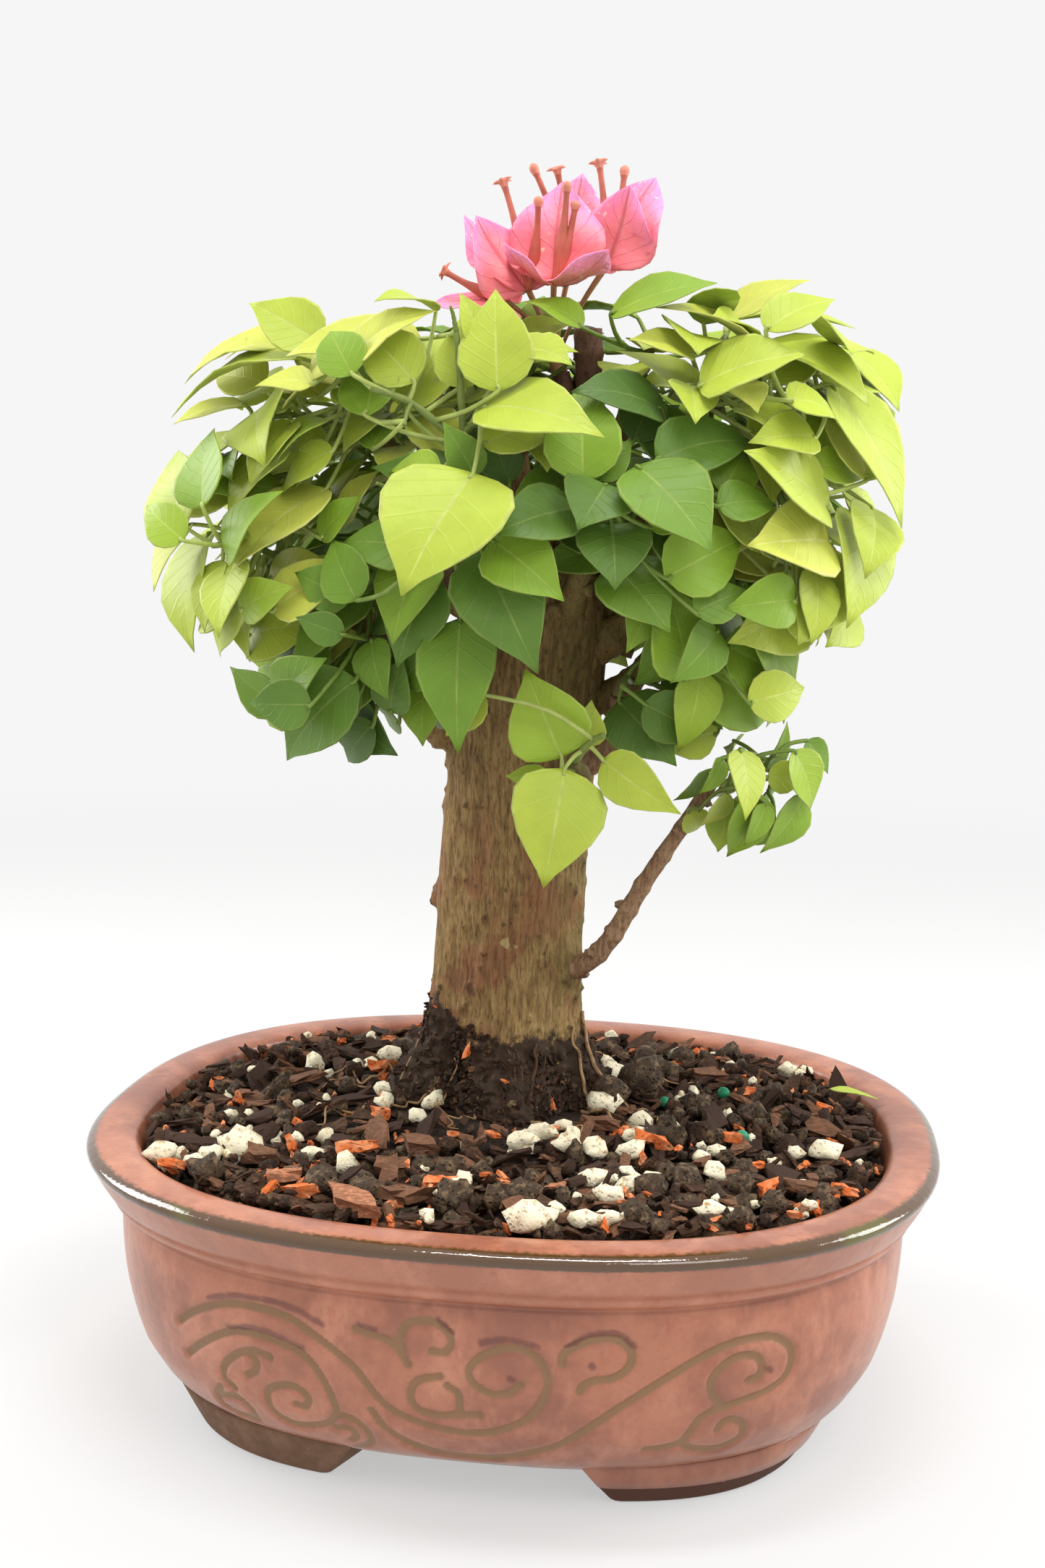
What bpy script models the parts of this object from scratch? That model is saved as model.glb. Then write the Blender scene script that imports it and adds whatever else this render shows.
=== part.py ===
"""A bougainvillea bonsai in an oval glazed pot, as separate solids.

X runs along the pot's long side, the front faces -Y, and Z is up. The origin is on the
surface the pot's feet stand on, under the pot's centre. Sizes are in millimetres in the
tables and the shape functions, and make_solid() turns them into Blender's metres.
"""

import math
import random

import bmesh
import bpy
from mathutils import Matrix, Vector
from mathutils.bvhtree import BVHTree

MM = 0.001
GAP = 0.3
UP = Vector((0, 0, 1))
GOLDEN_ANGLE = math.radians(137.5)
SEED = 16

# The pot
LIP_HALF_LENGTH = 100.0
LIP_HALF_WIDTH = 87.2
POT_SIDES = 44
FLOOR_HEIGHT = 14.5
# Height, inset from the lip's outline, and squareness of the oval, up the outside
POT_OUTSIDE = (
    (7.5, 23.0, 2.57),
    (9.0, 20.9, 2.56),
    (12.0, 17.0, 2.54),
    (20.0, 12.1, 2.49),
    (32.0, 8.7, 2.43),
    (44.0, 7.6, 2.4),
    (48.4, 8.2, 2.4),
    (49.2, 8.9, 2.42),
    (51.0, 5.6, 2.43),
    (56.0, 2.9, 2.43),
    (61.0, 0.4, 2.43),
    (62.5, 0.0, 2.43),
    (63.6, 1.2, 2.43),
    (64.0, 4.2, 2.43),
    (63.8, 8.8, 2.43),
    (63.0, 11.2, 2.43),
)
# The same down the inside, to the floor
POT_INSIDE = (
    (61.0, 12.0, 2.43),
    (44.0, 14.4, 2.45),
    (24.0, 17.2, 2.6),
    (FLOOR_HEIGHT, 23.5, 2.75),
)

# The four bracket feet: height, half length, half width and squareness of the oval they
# follow, then where the openings between them end, at the front and at the side
FOOT_BOTTOM = (0.0, 72.1, 62.9, 3.2, 31.0, 36.0)
FOOT_TOP = (10.5, 79.6, 67.4, 2.85, 24.0, 29.0)
FOOT_THICK = 13.0
FOOT_STEPS = 7

# The soil: its level at the rim, the flat top of the mound that the trunk stands on, and
# the play it has in the pot
SOIL_EDGE = 57.6
SOIL_TOP = 64.0
SOIL_STEPS = 4
SOIL_LUMP = 0.8
SOIL_PLAY = 0.4

# The trunk: height above the soil, centre (x, y), radius and depth of the root lobes
TRUNK_SIDES = 18
ROOT_LOBES = 5
TRUNK = (
    (0.0, -6.2, 17.0, 26.4, 0.13),
    (4.0, -6.2, 17.0, 24.6, 0.13),
    (10.0, -6.1, 16.9, 21.4, 0.10),
    (18.0, -5.9, 16.6, 19.2, 0.06),
    (30.0, -5.5, 16.2, 18.3, 0.035),
    (46.0, -4.6, 15.4, 18.0, 0.025),
    (66.0, -3.6, 14.2, 17.7, 0.02),
    (86.0, -1.8, 12.6, 17.8, 0.02),
    (104.0, 0.2, 11.2, 17.3, 0.02),
    (120.0, 1.8, 9.8, 16.6, 0.02),
    (127.0, 2.4, 9.2, 15.6, 0.02),
    (129.6, 2.6, 9.0, 13.4, 0.02),
)

# Each bough: name, what it springs from, its route, and its radius at both ends.
# A route starts inside the limb it springs from, which then cuts it to its seat.
LIMB_SIDES = 6
BOUGHS = (
    ("left_bough", "trunk", ((-12, 11, 150), (-24, 8, 160), (-33, 3, 175), (-54, -3, 192)), 5.8, 2.8),
    ("left_low_bough", "left_bough", ((-25, 7, 162), (-27, 1, 167), (-29, -5, 173)), 2.8, 1.9),
    ("left_top_bough", "trunk", ((-8, 12, 184), (-20, 9, 196), (-26, 6, 210), (-33, 4, 221)), 4.2, 2.4),
    ("left_stub", "trunk", ((-6, 2, 182), (-17, -6, 196), (-20, -11, 212), (-20.5, -13, 233)), 4.4, 2.9),
    ("centre_bough", "trunk", ((0, 2, 186), (-6, -9, 195), (-8, -20, 204), (-9, -25, 214)), 2.6, 1.7),
    ("front_bough", "trunk", ((1, 4, 180), (-1, -12, 184), (-2, -22, 194)), 3.0, 1.8),
    ("front_right_bough", "trunk", ((8, 2, 182), (13, -9, 190), (17, -17, 204)), 3.2, 2.0),
    ("right_bough", "trunk", ((9, 9, 186), (13, 6, 204), (12.5, 4, 221), (6.5, 4.5, 239)), 4.6, 2.3),
    ("right_knob", "right_bough", ((11.6, 4, 224), (13.4, 3, 237), (13.0, 2, 249)), 2.8, 3.3),
    ("top_bough", "right_bough", ((12.5, 5, 212), (20, 8, 226), (25, 9, 240)), 2.8, 1.8),
    ("crown_bough", "trunk", ((0, 12, 186), (-3, 16, 208), (-6, 15, 232)), 3.4, 2.0),
    ("right_top_bough", "trunk", ((10, 10, 182), (24, 10, 200), (33, 7, 216), (40, 4, 229)), 3.8, 2.1),
    ("right_far_bough", "trunk", ((11, 8, 172), (26, 6, 184), (40, 2, 198), (52, -1, 212)), 4.2, 2.2),
    ("right_low_bough", "trunk", ((11, 12, 160), (24, 9, 168), (32, 6, 178), (39, 2, 190)), 3.4, 2.0),
    ("right_stub", "trunk", ((9, 8, 147), (20, 5, 153), (22.5, 2, 165)), 3.6, 2.3),
    ("back_left_bough", "trunk", ((-6, 14, 172), (-20, 26, 186), (-30, 34, 204)), 4.2, 2.2),
    ("back_bough", "trunk", ((2, 16, 170), (3, 32, 184), (2, 42, 202)), 4.2, 2.2),
    ("back_right_bough", "trunk", ((9, 14, 174), (24, 26, 188), (35, 32, 205)), 4.2, 2.2),
    ("low_branch", "trunk", ((5, 12, 95), (18, 6, 102), (30, 3, 122), (46, -1, 148)), 3.1, 1.8),
    ("front_stub", "trunk", ((6, 8, 136), (13.5, -4, 141), (16, -13, 147)), 2.6, 1.7),
)

# Each mass of leaves: name, the bough it grows on from, the centre and half sizes of its
# space, its shoots, its leaves, their length, and tint (0 young, 1 mid, 2 old)
MASSES = (
    ("centre_leaves", "centre_bough", (-14, -30, 232), (32, 28, 26), 3, 20, 32, 0),
    ("front_leaves", "front_bough", (-10, -35, 197), (36, 28, 38), 3, 20, 34, 2),
    ("front_right_leaves", "front_right_bough", (26, -29, 208), (32, 30, 35), 3, 24, 31, 2),
    ("front_cluster_leaves", "front_stub", (9, -27, 157), (26, 20, 34), 2, 5, 29, 0),
    ("left_top_leaves", "left_top_bough", (-47, -2, 229), (38, 38, 28), 4, 27, 32, 0),
    ("right_top_leaves", "right_top_bough", (50, -2, 234), (36, 38, 28), 4, 27, 33, 0),
    ("left_leaves", "left_bough", (-58, -8, 202), (31, 40, 36), 3, 26, 34, 0),
    ("right_leaves", "right_far_bough", (60, -8, 206), (28, 40, 34), 3, 26, 34, 0),
    ("left_low_leaves", "left_low_bough", (-40, -12, 174), (30, 32, 28), 3, 22, 30, 2),
    ("right_low_leaves", "right_low_bough", (42, -4, 180), (28, 32, 28), 3, 20, 31, 1),
    ("right_stub_leaves", "right_stub", (30, -8, 168), (22, 24, 24), 2, 9, 26, 2),
    ("top_leaves", "top_bough", (27, 2, 249), (32, 32, 20), 3, 22, 30, 1),
    ("crown_leaves", "crown_bough", (-12, 16, 239), (36, 36, 22), 3, 22, 31, 1),
    ("back_left_leaves", "back_left_bough", (-42, 44, 208), (40, 38, 44), 4, 26, 34, 1),
    ("back_leaves", "back_bough", (2, 54, 206), (38, 30, 46), 4, 24, 34, 1),
    ("back_right_leaves", "back_right_bough", (44, 42, 206), (40, 38, 44), 4, 26, 34, 1),
    ("low_branch_leaves", "low_branch", (53, -4, 148), (20, 22, 20), 2, 8, 19, 1),
)
# The leaves that give the crown its outline and its front, by mass: where each blade
# starts, where its tip is, and its width as a share of a common leaf's
LEADING_LEAVES = {
    "left_top_leaves": (
        ((-65, -8, 231), (-81, -12, 226), 1.0),
        ((-34, -26, 236), (-46, -36, 217), 1.5),
        ((-43, -18, 212), (-61, -30, 193), 1.1),
        ((-67, -6, 225), (-85, -12, 203), 0.8),
        ((-54, -14, 221), (-64, -24, 204), 1.2),
    ),
    "left_leaves": (
        ((-65, -8, 193), (-62, -14, 172), 1.0),
    ),
    "left_low_leaves": (
        ((-31, -12, 176), (-45, -16, 153), 0.9),
        ((-20, -16, 171), (-20, -18, 154), 1.2),
    ),
    "front_leaves": (
        ((-5, -34, 199), (9, -42, 173), 1.0),
        ((-10, -30, 184), (-8, -37, 155), 0.9),
        ((-2, -38, 201), (15, -44, 189), 1.1),
        ((-19, -28, 198), (-23, -36, 178), 1.1),
        ((-34, -16, 190), (-50, -24, 170), 1.0),
    ),
    "centre_leaves": (
        ((-6, -38, 215), (-17, -54, 189), 1.35),
        ((-10, -28, 233), (-11, -26, 248), 1.2),
        ((-6, -32, 229), (23, -46, 223), 0.8),
        ((-22, -16, 245), (-52, -20, 241), 0.9),
    ),
    "front_right_leaves": (
        ((16, -36, 208), (-1, -46, 202), 1.1),
        ((22, -36, 213), (18, -46, 203), 1.6),
        ((23, -34, 205), (25, -42, 191), 1.5),
        ((23, -28, 196), (36, -34, 182), 1.3),
        ((28, -34, 217), (45, -44, 199), 1.1),
    ),
    "right_top_leaves": (
        ((40, -26, 234), (62, -30, 240), 1.2),
        ((39, -20, 241), (25, -26, 244), 1.1),
        ((68, -10, 236), (85, -14, 205), 0.8),
    ),
    "right_low_leaves": (
        ((52, -8, 193), (60, -12, 161), 0.8),
        ((33, -16, 183), (47, -20, 174), 1.2),
        ((34, -4, 172), (47, -7, 159), 1.1),
    ),
    "right_stub_leaves": (
        ((23, -8, 165), (37, -14, 151), 1.2),
    ),
    "front_cluster_leaves": (
        ((12, -22, 153), (4, -24, 173), 1.3),
        ((16, -17, 155), (18, -19, 166), 1.2),
        ((13, -24, 151), (9, -30, 125), 1.2),
        ((21, -22, 153), (39, -28, 142), 0.8),
        ((9, -21, 149), (-1, -20, 148), 1.0),
    ),
}
LEADING_BEND = math.radians(38)
# The room before the trunk that only leading leaves enter, along x, y and z, and how far
# forward the others come
OPEN_FRONT = ((1, 26), (-70, 2), (110, 192))
FRONT_LIMIT = -37.0
# The leaves face out of the crown, and turn towards the light
LIGHT = Vector((0, -0.4, 0.4))
CROWN_CENTRE = Vector((0, 10, 188))
CROWN_SIZE = Vector((87, 76, 76))

# A leaf: stations along it with its half width there, and its thickness, as shares of its
# length, then the radius of its stalk, and of a shoot at its two ends
LEAF_STATIONS = ((0.26, 0.31), (0.64, 0.21))
LEAF_THICK = 0.034
STALK_RADIUS = 0.55
STALK_ROOT = 0.3
STALK_SHORTEST = 2.0
STALK_ALONG = 0.12
SHOOT_FOOT = 1.2
SHOOT_END = 0.8
STEM_END = 1.6
LEAF_TRIES = 10
CLEARANCE = 0.35
# How far out in a mass's space its leaves start, in turn, and how far round they go
LEAF_LAYERS = (0.68, 0.42, 0.56)
LEAF_COVER = 1.45
# Leaves start from nodes along the shoots, which they share only where they must
NODES_PER_STRETCH = 5
NODE_SPACING = 2.2
NODE_CROWDING = 9.0
NODE_TRIES = 8

# The blossom: the bough it grows on from, then each bloom's foot, its bracts (where the tip
# is, the width as a share of a common leaf's, and the way the inner side faces) and the tips
# of its tubes
BLOSSOM_BOUGH = "right_bough"
BLOOMS = (
    (
        (0, -2, 256),
        (((-11, -7, 273), 1.25, (0.5, -0.8, 0.3)), ((-16, 4, 275), 0.8, (0.5, -0.5, 0.5)),
         ((-3, 5, 274), 1.2, (0.2, -1.0, 0.1))),
        ((-7, 0, 282), (2.5, -8, 276.5)),
    ),
    (
        (6, -6, 257),
        (((19, -15, 264), 1.25, (-0.4, 0.2, 1.0)), ((6.4, 1, 281.5), 1.2, (0.0, -1.0, 0.2)),
         ((-4, -13, 266), 1.1, (0.6, 0.3, 0.8))),
        ((9, -9, 279.5), (11, -8, 275.5)),
    ),
    (
        (17, 0, 261),
        (((22.5, -6, 279), 1.3, (-0.3, -1.0, 0.2)), ((27, 5, 283), 1.2, (-0.5, -0.9, 0.1)),
         ((15, 11, 277), 1.2, (0.1, -1.0, 0.3))),
        ((14.3, 5, 286.8), (20.5, 4, 285.3)),
    ),
    (
        (8, 7, 262),
        (((9, 10, 285), 1.1, (0.1, -1.0, 0.1)), ((0, 17, 276), 1.2, (0.3, -0.9, 0.4)),
         ((17, 19, 273), 1.2, (-0.3, -0.8, 0.6))),
        ((-1.5, 8, 286.8), (5, 2, 285)),
    ),
    (
        (-4, -3, 254),
        (((-22, -4, 254), 1.05, (0.1, -0.1, 1.0)), ((-10, -13, 247.5), 1.2, (0.2, 0.1, 1.0)),
         ((-11, 6, 262), 1.0, (0.5, -0.5, 0.6))),
        ((-20, -3, 261.5),),
    ),
)
BRACT_BEND = math.radians(-35)
BRACT_SPREAD = 1.3
PEDICEL_RADII = (0.7, 1.5)
TUBE_RADIUS = 0.95
FORK_RISE = 5.0

# Colours and surfaces: base colour, roughness
FINISHES = {
    "glaze": ((0.48, 0.27, 0.23), 0.22),
    "soil": ((0.10, 0.07, 0.05), 0.95),
    "bark": ((0.24, 0.17, 0.10), 0.85),
    "young_leaf": ((0.52, 0.62, 0.12), 0.45),
    "mid_leaf": ((0.22, 0.40, 0.07), 0.45),
    "old_leaf": ((0.10, 0.26, 0.07), 0.45),
    "bract": ((0.90, 0.20, 0.36), 0.50),
}
LEAF_FINISHES = ("young_leaf", "mid_leaf", "old_leaf")


def clear_scene():
    for obj in list(bpy.data.objects):
        bpy.data.objects.remove(obj, do_unlink=True)


def make_collection(name):
    group = bpy.data.collections.new(name)
    bpy.context.scene.collection.children.link(group)
    return group


def make_finish(name):
    colour, roughness = FINISHES[name]
    material = bpy.data.materials.new(name)
    material.use_nodes = True
    shader = material.node_tree.nodes["Principled BSDF"]
    shader.inputs["Base Color"].default_value = (*colour, 1)
    shader.inputs["Roughness"].default_value = roughness
    material.diffuse_color = (*colour, 1)
    return material


def make_solid(name, bm, finish, group):
    """Turns a bmesh in millimetres into an object in metres, of triangles that point out."""
    bmesh.ops.triangulate(bm, faces=bm.faces)
    bmesh.ops.recalc_face_normals(bm, faces=bm.faces)
    if bm.calc_volume(signed=True) < 0:
        bmesh.ops.reverse_faces(bm, faces=bm.faces)
    mesh = bpy.data.meshes.new(name)
    bm.to_mesh(mesh)
    bm.free()
    mesh.transform(Matrix.Scale(MM, 4))
    mesh.materials.append(finish)
    obj = bpy.data.objects.new(name, mesh)
    group.objects.link(obj)
    return obj


def loft(bm, rings, tip=None):
    """Joins rings of points that have the same count into one closed skin.

    It starts with a flat end, and stops with another, or at a tip where one is given.
    """
    rows = [[bm.verts.new(point) for point in ring] for ring in rings]
    count = len(rows[0])
    pairs = [(i, (i + 1) % count) for i in range(count)]
    for lower, upper in zip(rows, rows[1:]):
        for i, j in pairs:
            bm.faces.new((lower[i], lower[j], upper[j], upper[i]))
    bm.faces.new(rows[0])
    if tip is None:
        bm.faces.new(rows[-1])
        return
    apex = bm.verts.new(tip)
    for i, j in pairs:
        bm.faces.new((rows[-1][i], rows[-1][j], apex))


def oval_point(half_length, half_width, squareness, height, turn):
    """A point of an oval that runs from an ellipse, at 2, towards a rectangle."""
    c, s = math.cos(turn), math.sin(turn)
    x = half_length * math.copysign(abs(c) ** (2 / squareness), c)
    y = half_width * math.copysign(abs(s) ** (2 / squareness), s)
    return Vector((x, y, height))


def lip_oval(height, inset, squareness):
    """A ring of the pot's wall, inset from the lip's outline."""
    half_length, half_width = LIP_HALF_LENGTH - inset, LIP_HALF_WIDTH - inset
    turns = [math.tau * i / POT_SIDES for i in range(POT_SIDES)]
    return [oval_point(half_length, half_width, squareness, height, turn) for turn in turns]


def foot_sections(sign_x, sign_y):
    """One bracket foot, as four-cornered sections along its quarter of the oval."""

    def turn_range(row):
        _, half_length, half_width, squareness, front_end, side_end = row
        at_front = math.acos((front_end / half_length) ** (squareness / 2))
        at_side = math.asin((side_end / half_width) ** (squareness / 2))
        return at_side, at_front

    def corner(row, share, inset):
        height, half_length, half_width, squareness = row[:4]
        at_side, at_front = turn_range(row)
        turn = at_side + (at_front - at_side) * share
        point = oval_point(half_length - inset, half_width - inset, squareness, height, turn)
        return Vector((point.x * sign_x, point.y * sign_y, point.z))

    return [
        [
            corner(FOOT_BOTTOM, step / FOOT_STEPS, 0),
            corner(FOOT_TOP, step / FOOT_STEPS, 0),
            corner(FOOT_TOP, step / FOOT_STEPS, FOOT_THICK),
            corner(FOOT_BOTTOM, step / FOOT_STEPS, FOOT_THICK),
        ]
        for step in range(FOOT_STEPS + 1)
    ]


def fuse(obj, pieces):
    """Joins every piece of a collection to obj with one Boolean union, then removes the pieces.

    The exact solver goes first. Where it leaves open edges or scraps, the manifold one does it.
    """
    union = obj.modifiers.new("union", "BOOLEAN")
    union.operation = "UNION"
    union.operand_type = "COLLECTION"
    union.collection = pieces
    if not is_one_body(obj):
        union.solver = "MANIFOLD"
    bake(obj)
    keep_main_body(obj)
    for piece in list(pieces.objects):
        bpy.data.objects.remove(piece, do_unlink=True)
    bpy.data.collections.remove(pieces)


def cut(obj, cutter):
    """Takes the cutter's space out of obj, then removes the cutter."""
    difference = obj.modifiers.new("cut", "BOOLEAN")
    difference.operation = "DIFFERENCE"
    difference.object = cutter
    bake(obj)
    bpy.data.objects.remove(cutter, do_unlink=True)


def bake(obj):
    """Makes the object's modified mesh its own mesh."""
    bpy.context.view_layer.update()
    graph = bpy.context.evaluated_depsgraph_get()
    finish = obj.data.materials[0]
    mesh = bpy.data.meshes.new_from_object(obj.evaluated_get(graph))
    obj.modifiers.clear()
    obj.data = mesh
    mesh.materials.clear()
    mesh.materials.append(finish)


def islands_of(bm):
    """The bodies of a bmesh, as lists of faces that meet at edges, the largest first."""
    left = set(bm.faces)
    islands = []
    while left:
        island, search = [], [left.pop()]
        while search:
            face = search.pop()
            island.append(face)
            near = {other for edge in face.edges for other in edge.link_faces} & left
            left -= near
            search.extend(near)
        islands.append(island)
    return sorted(islands, key=len, reverse=True)


def is_one_body(obj):
    """Whether the modified object is one body, with every edge between exactly two faces."""
    bpy.context.view_layer.update()
    bm = bmesh.new()
    bm.from_object(obj, bpy.context.evaluated_depsgraph_get())
    whole = all(len(edge.link_faces) == 2 for edge in bm.edges) and len(islands_of(bm)) == 1
    bm.free()
    return whole


def ear_height(bm, corners, k, normal):
    """How tall the triangle at a corner of a face is, below 0 where it can't be cut off."""
    a, b, c = corners[k - 1], corners[k], corners[(k + 1) % len(corners)]
    area = (b.co - a.co).cross(c.co - a.co).dot(normal)
    if area <= 0 or bm.edges.get((a, c)) is not None:
        return -1
    sides = ((a, b), (b, c), (c, a))
    for other in corners:
        if other not in (a, b, c):
            if all((v.co - u.co).cross(other.co - u.co).dot(normal) >= 0 for u, v in sides):
                return -1
    return area / max((v.co - u.co).length for u, v in sides)


def cut_to_triangles(bm):
    """Cuts every face to triangles, tallest first, along no line that is an edge already."""
    for face in [face for face in bm.faces if len(face.verts) > 3]:
        corners, normal = list(face.verts), face.normal.copy()
        bm.faces.remove(face)
        while len(corners) > 3:
            k = max(range(len(corners)), key=lambda k: ear_height(bm, corners, k, normal))
            bm.faces.new((corners[k - 1], corners[k], corners[(k + 1) % len(corners)]))
            corners.pop(k)
        bm.faces.new(corners)


def keep_main_body(obj):
    """Drops loose scraps, and the skins of sealed hollows, from a solid, as triangles."""
    bm = bmesh.new()
    bm.from_mesh(obj.data)
    cut_to_triangles(bm)
    for island in islands_of(bm)[1:]:
        bmesh.ops.delete(bm, geom=island, context="FACES")
    bm.to_mesh(obj.data)
    bm.free()


def make_pot(group, finish):
    bm = bmesh.new()
    loft(bm, [lip_oval(*row) for row in POT_OUTSIDE + POT_INSIDE])
    pot = make_solid("pot", bm, finish, group)
    feet = make_collection("feet")
    for sign_x in (-1, 1):
        for sign_y in (-1, 1):
            bm = bmesh.new()
            loft(bm, foot_sections(sign_x, sign_y))
            make_solid("foot", bm, finish, feet)
    fuse(pot, feet)
    return pot


def make_soil(group, finish):
    """Fills the pot to just under its lip, and rises to a flat mound under the trunk."""
    rng = random.Random(SEED)
    rings = []
    for height, inset, squareness in reversed(POT_INSIDE[1:]):
        lift = GAP if height == FLOOR_HEIGHT else 0
        rings.append(lip_oval(height + lift, inset + SOIL_PLAY, squareness))
    share = (SOIL_EDGE - POT_INSIDE[1][0]) / (POT_INSIDE[0][0] - POT_INSIDE[1][0])
    edge_inset = POT_INSIDE[1][1] + (POT_INSIDE[0][1] - POT_INSIDE[1][1]) * share
    edge = lip_oval(SOIL_EDGE, edge_inset + SOIL_PLAY, POT_INSIDE[0][2])
    rings.append(edge)
    _, trunk_x, trunk_y, trunk_radius, lobe = TRUNK[0]
    mound_radius = trunk_radius * (1 + lobe) + 1
    for step in range(1, SOIL_STEPS + 1):
        inward = step / SOIL_STEPS
        rise = inward ** 1.6
        lump = SOIL_LUMP if step < SOIL_STEPS else 0
        ring = []
        for i, point in enumerate(edge):
            turn = math.atan2(point.y - trunk_y, point.x - trunk_x)
            x = trunk_x + mound_radius * math.cos(turn)
            y = trunk_y + mound_radius * math.sin(turn)
            height = SOIL_EDGE + (SOIL_TOP - SOIL_EDGE) * rise + rng.uniform(-lump, lump)
            ring.append(Vector((point.x + (x - point.x) * inward, point.y + (y - point.y) * inward, height)))
        rings.append(ring)
    bm = bmesh.new()
    loft(bm, rings)
    return make_solid("soil", bm, finish, group)


def trunk_rings(grow=0.0):
    """The trunk's rings from the flat cut at the soil to the rounded cut top."""
    rings = []
    for height, x, y, radius, lobe in TRUNK:
        ring = []
        for i in range(TRUNK_SIDES):
            turn = math.tau * i / TRUNK_SIDES
            swell = 1 + lobe * math.cos(ROOT_LOBES * turn + 0.6) + 0.3 * lobe * math.cos(3 * turn + 2)
            reach = radius * swell + grow
            level = SOIL_TOP + GAP + height
            ring.append(Vector((x + reach * math.cos(turn), y + reach * math.sin(turn), level)))
        rings.append(ring)
    rings[0] = [point - UP * grow for point in rings[0]]
    rings[-1] = [point + UP * grow for point in rings[-1]]
    return rings


def curve_points(route, steps):
    """Points along a smooth curve through the route's points (Catmull-Rom)."""
    route = [Vector(point) for point in route]
    ends = [2 * route[0] - route[1], *route, 2 * route[-1] - route[-2]]
    points = []
    for a, b, c, d in zip(ends, ends[1:], ends[2:], ends[3:]):
        for step in range(steps):
            t = step / steps
            square = (2 * a - 5 * b + 4 * c - d) * t * t
            cube = (3 * b - a - 3 * c + d) * t ** 3
            points.append(0.5 * (2 * b + (c - a) * t + square + cube))
    points.append(route[-1])
    return points


def tube_rings(points, radii, sides):
    """Rings of a tapering tube along the points, turned as little as they can be."""
    rings = []
    side = None
    for i, (point, radius) in enumerate(zip(points, radii)):
        along = (points[min(i + 1, len(points) - 1)] - points[max(i - 1, 0)]).normalized()
        if side is None:
            side = along.orthogonal().normalized()
        side = (side - along * side.dot(along)).normalized()
        other = along.cross(side)
        rings.append([
            point + radius * (side * math.cos(math.tau * k / sides) + other * math.sin(math.tau * k / sides))
            for k in range(sides)
        ])
    return rings


def taper(count, first, last):
    return [first + (last - first) * i / (count - 1) for i in range(count)]


def bough_rings(route, first, last, grow=0.0):
    points = curve_points(route, 2)
    radii = [radius + grow for radius in taper(len(points), first, last)]
    if grow:
        points[-1] = points[-1] + (points[-1] - points[-2]).normalized() * grow
    return tube_rings(points, radii, LIMB_SIDES)


def make_limbs(group, finish):
    """The trunk and every bough, each cut to its seat on the limb it springs from."""
    bm = bmesh.new()
    loft(bm, trunk_rings())
    limbs = {"trunk": make_solid("trunk", bm, finish, group)}
    clear_rings = {"trunk": trunk_rings(GAP)}
    for name, parent, route, first, last in BOUGHS:
        bm = bmesh.new()
        loft(bm, bough_rings(route, first, last))
        limbs[name] = make_solid(name, bm, finish, group)
        bm = bmesh.new()
        loft(bm, clear_rings[parent])
        cut(limbs[name], make_solid("seat", bm, finish, group))
        keep_main_body(limbs[name])
        clear_rings[name] = bough_rings(route, first, last, GAP)
    return limbs


class Pieces:
    """The closed pieces that are already in place, for testing whether a new one is clear of them."""

    def __init__(self):
        self.placed = []

    def add(self, bm_or_obj):
        """Remembers a solid object, or a bmesh in millimetres."""
        if isinstance(bm_or_obj, bpy.types.Object):
            bm = bmesh.new()
            bm.from_mesh(bm_or_obj.data)
            bm.transform(Matrix.Scale(1 / MM, 4))
        else:
            bm = bm_or_obj.copy()
        lows = [min(vert.co[k] for vert in bm.verts) for k in range(3)]
        highs = [max(vert.co[k] for vert in bm.verts) for k in range(3)]
        self.placed.append((lows, highs, BVHTree.FromBMesh(bm)))
        bm.free()

    def clear_of(self, bm):
        """Whether the bmesh crosses none of the pieces."""
        lows = [min(vert.co[k] for vert in bm.verts) for k in range(3)]
        highs = [max(vert.co[k] for vert in bm.verts) for k in range(3)]
        tree = BVHTree.FromBMesh(bm)
        for low, high, other in self.placed:
            apart = any(low[k] > highs[k] or high[k] < lows[k] for k in range(3))
            if not apart and tree.overlap(other):
                return False
        return True


def crown_outward(point):
    """The direction that faces out of the crown at a point."""
    away = point - CROWN_CENTRE
    return Vector([away[k] / CROWN_SIZE[k] ** 2 for k in range(3)]).normalized()


def blade_spine(base, heading, face, length, bend, t):
    """A point along a blade that arches towards its underside, and the blade's upward there."""
    angle = bend * t
    point = base + length / bend * (math.sin(angle) * heading + (math.cos(angle) - 1) * face)
    return point, math.cos(angle) * face + math.sin(angle) * heading


def leaf_bmesh(node, base, heading, face, length, width, bend, grow=0.0):
    """A blade with its stalk, as one thin closed solid with a keel along its midrib.

    The stalk starts at node and is left out where node is None. grow makes the whole
    thicker and wider, for testing its clearance.
    """
    side = heading.cross(face).normalized()

    def three(point, across, upward, half_width, depth):
        keel = point - upward * (depth - grow * 0.5)
        return [point - across * half_width, point + across * half_width, keel]

    stalk = STALK_RADIUS + grow
    rings = [three(base, side, face, stalk * 0.8, stalk)]
    if node is not None:
        along = (base - node).normalized()
        across = (side - along * side.dot(along)).normalized()
        rings.insert(0, three(node, across, across.cross(along), STALK_ROOT, STALK_ROOT))
    for t, share in LEAF_STATIONS:
        point, upward = blade_spine(base, heading, face, length, bend, t)
        point = point + upward * grow
        half_width = share * length * width + grow
        rings.append(three(point, side, upward, half_width, LEAF_THICK * length + 2 * grow))
    tip, _ = blade_spine(base, heading, face, length, bend, 1)
    bm = bmesh.new()
    loft(bm, rings, tip)
    return bm


def tube_bmesh(points, first, last, sides=3):
    bm = bmesh.new()
    loft(bm, tube_rings(points, taper(len(points), first, last), sides))
    return bm


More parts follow.
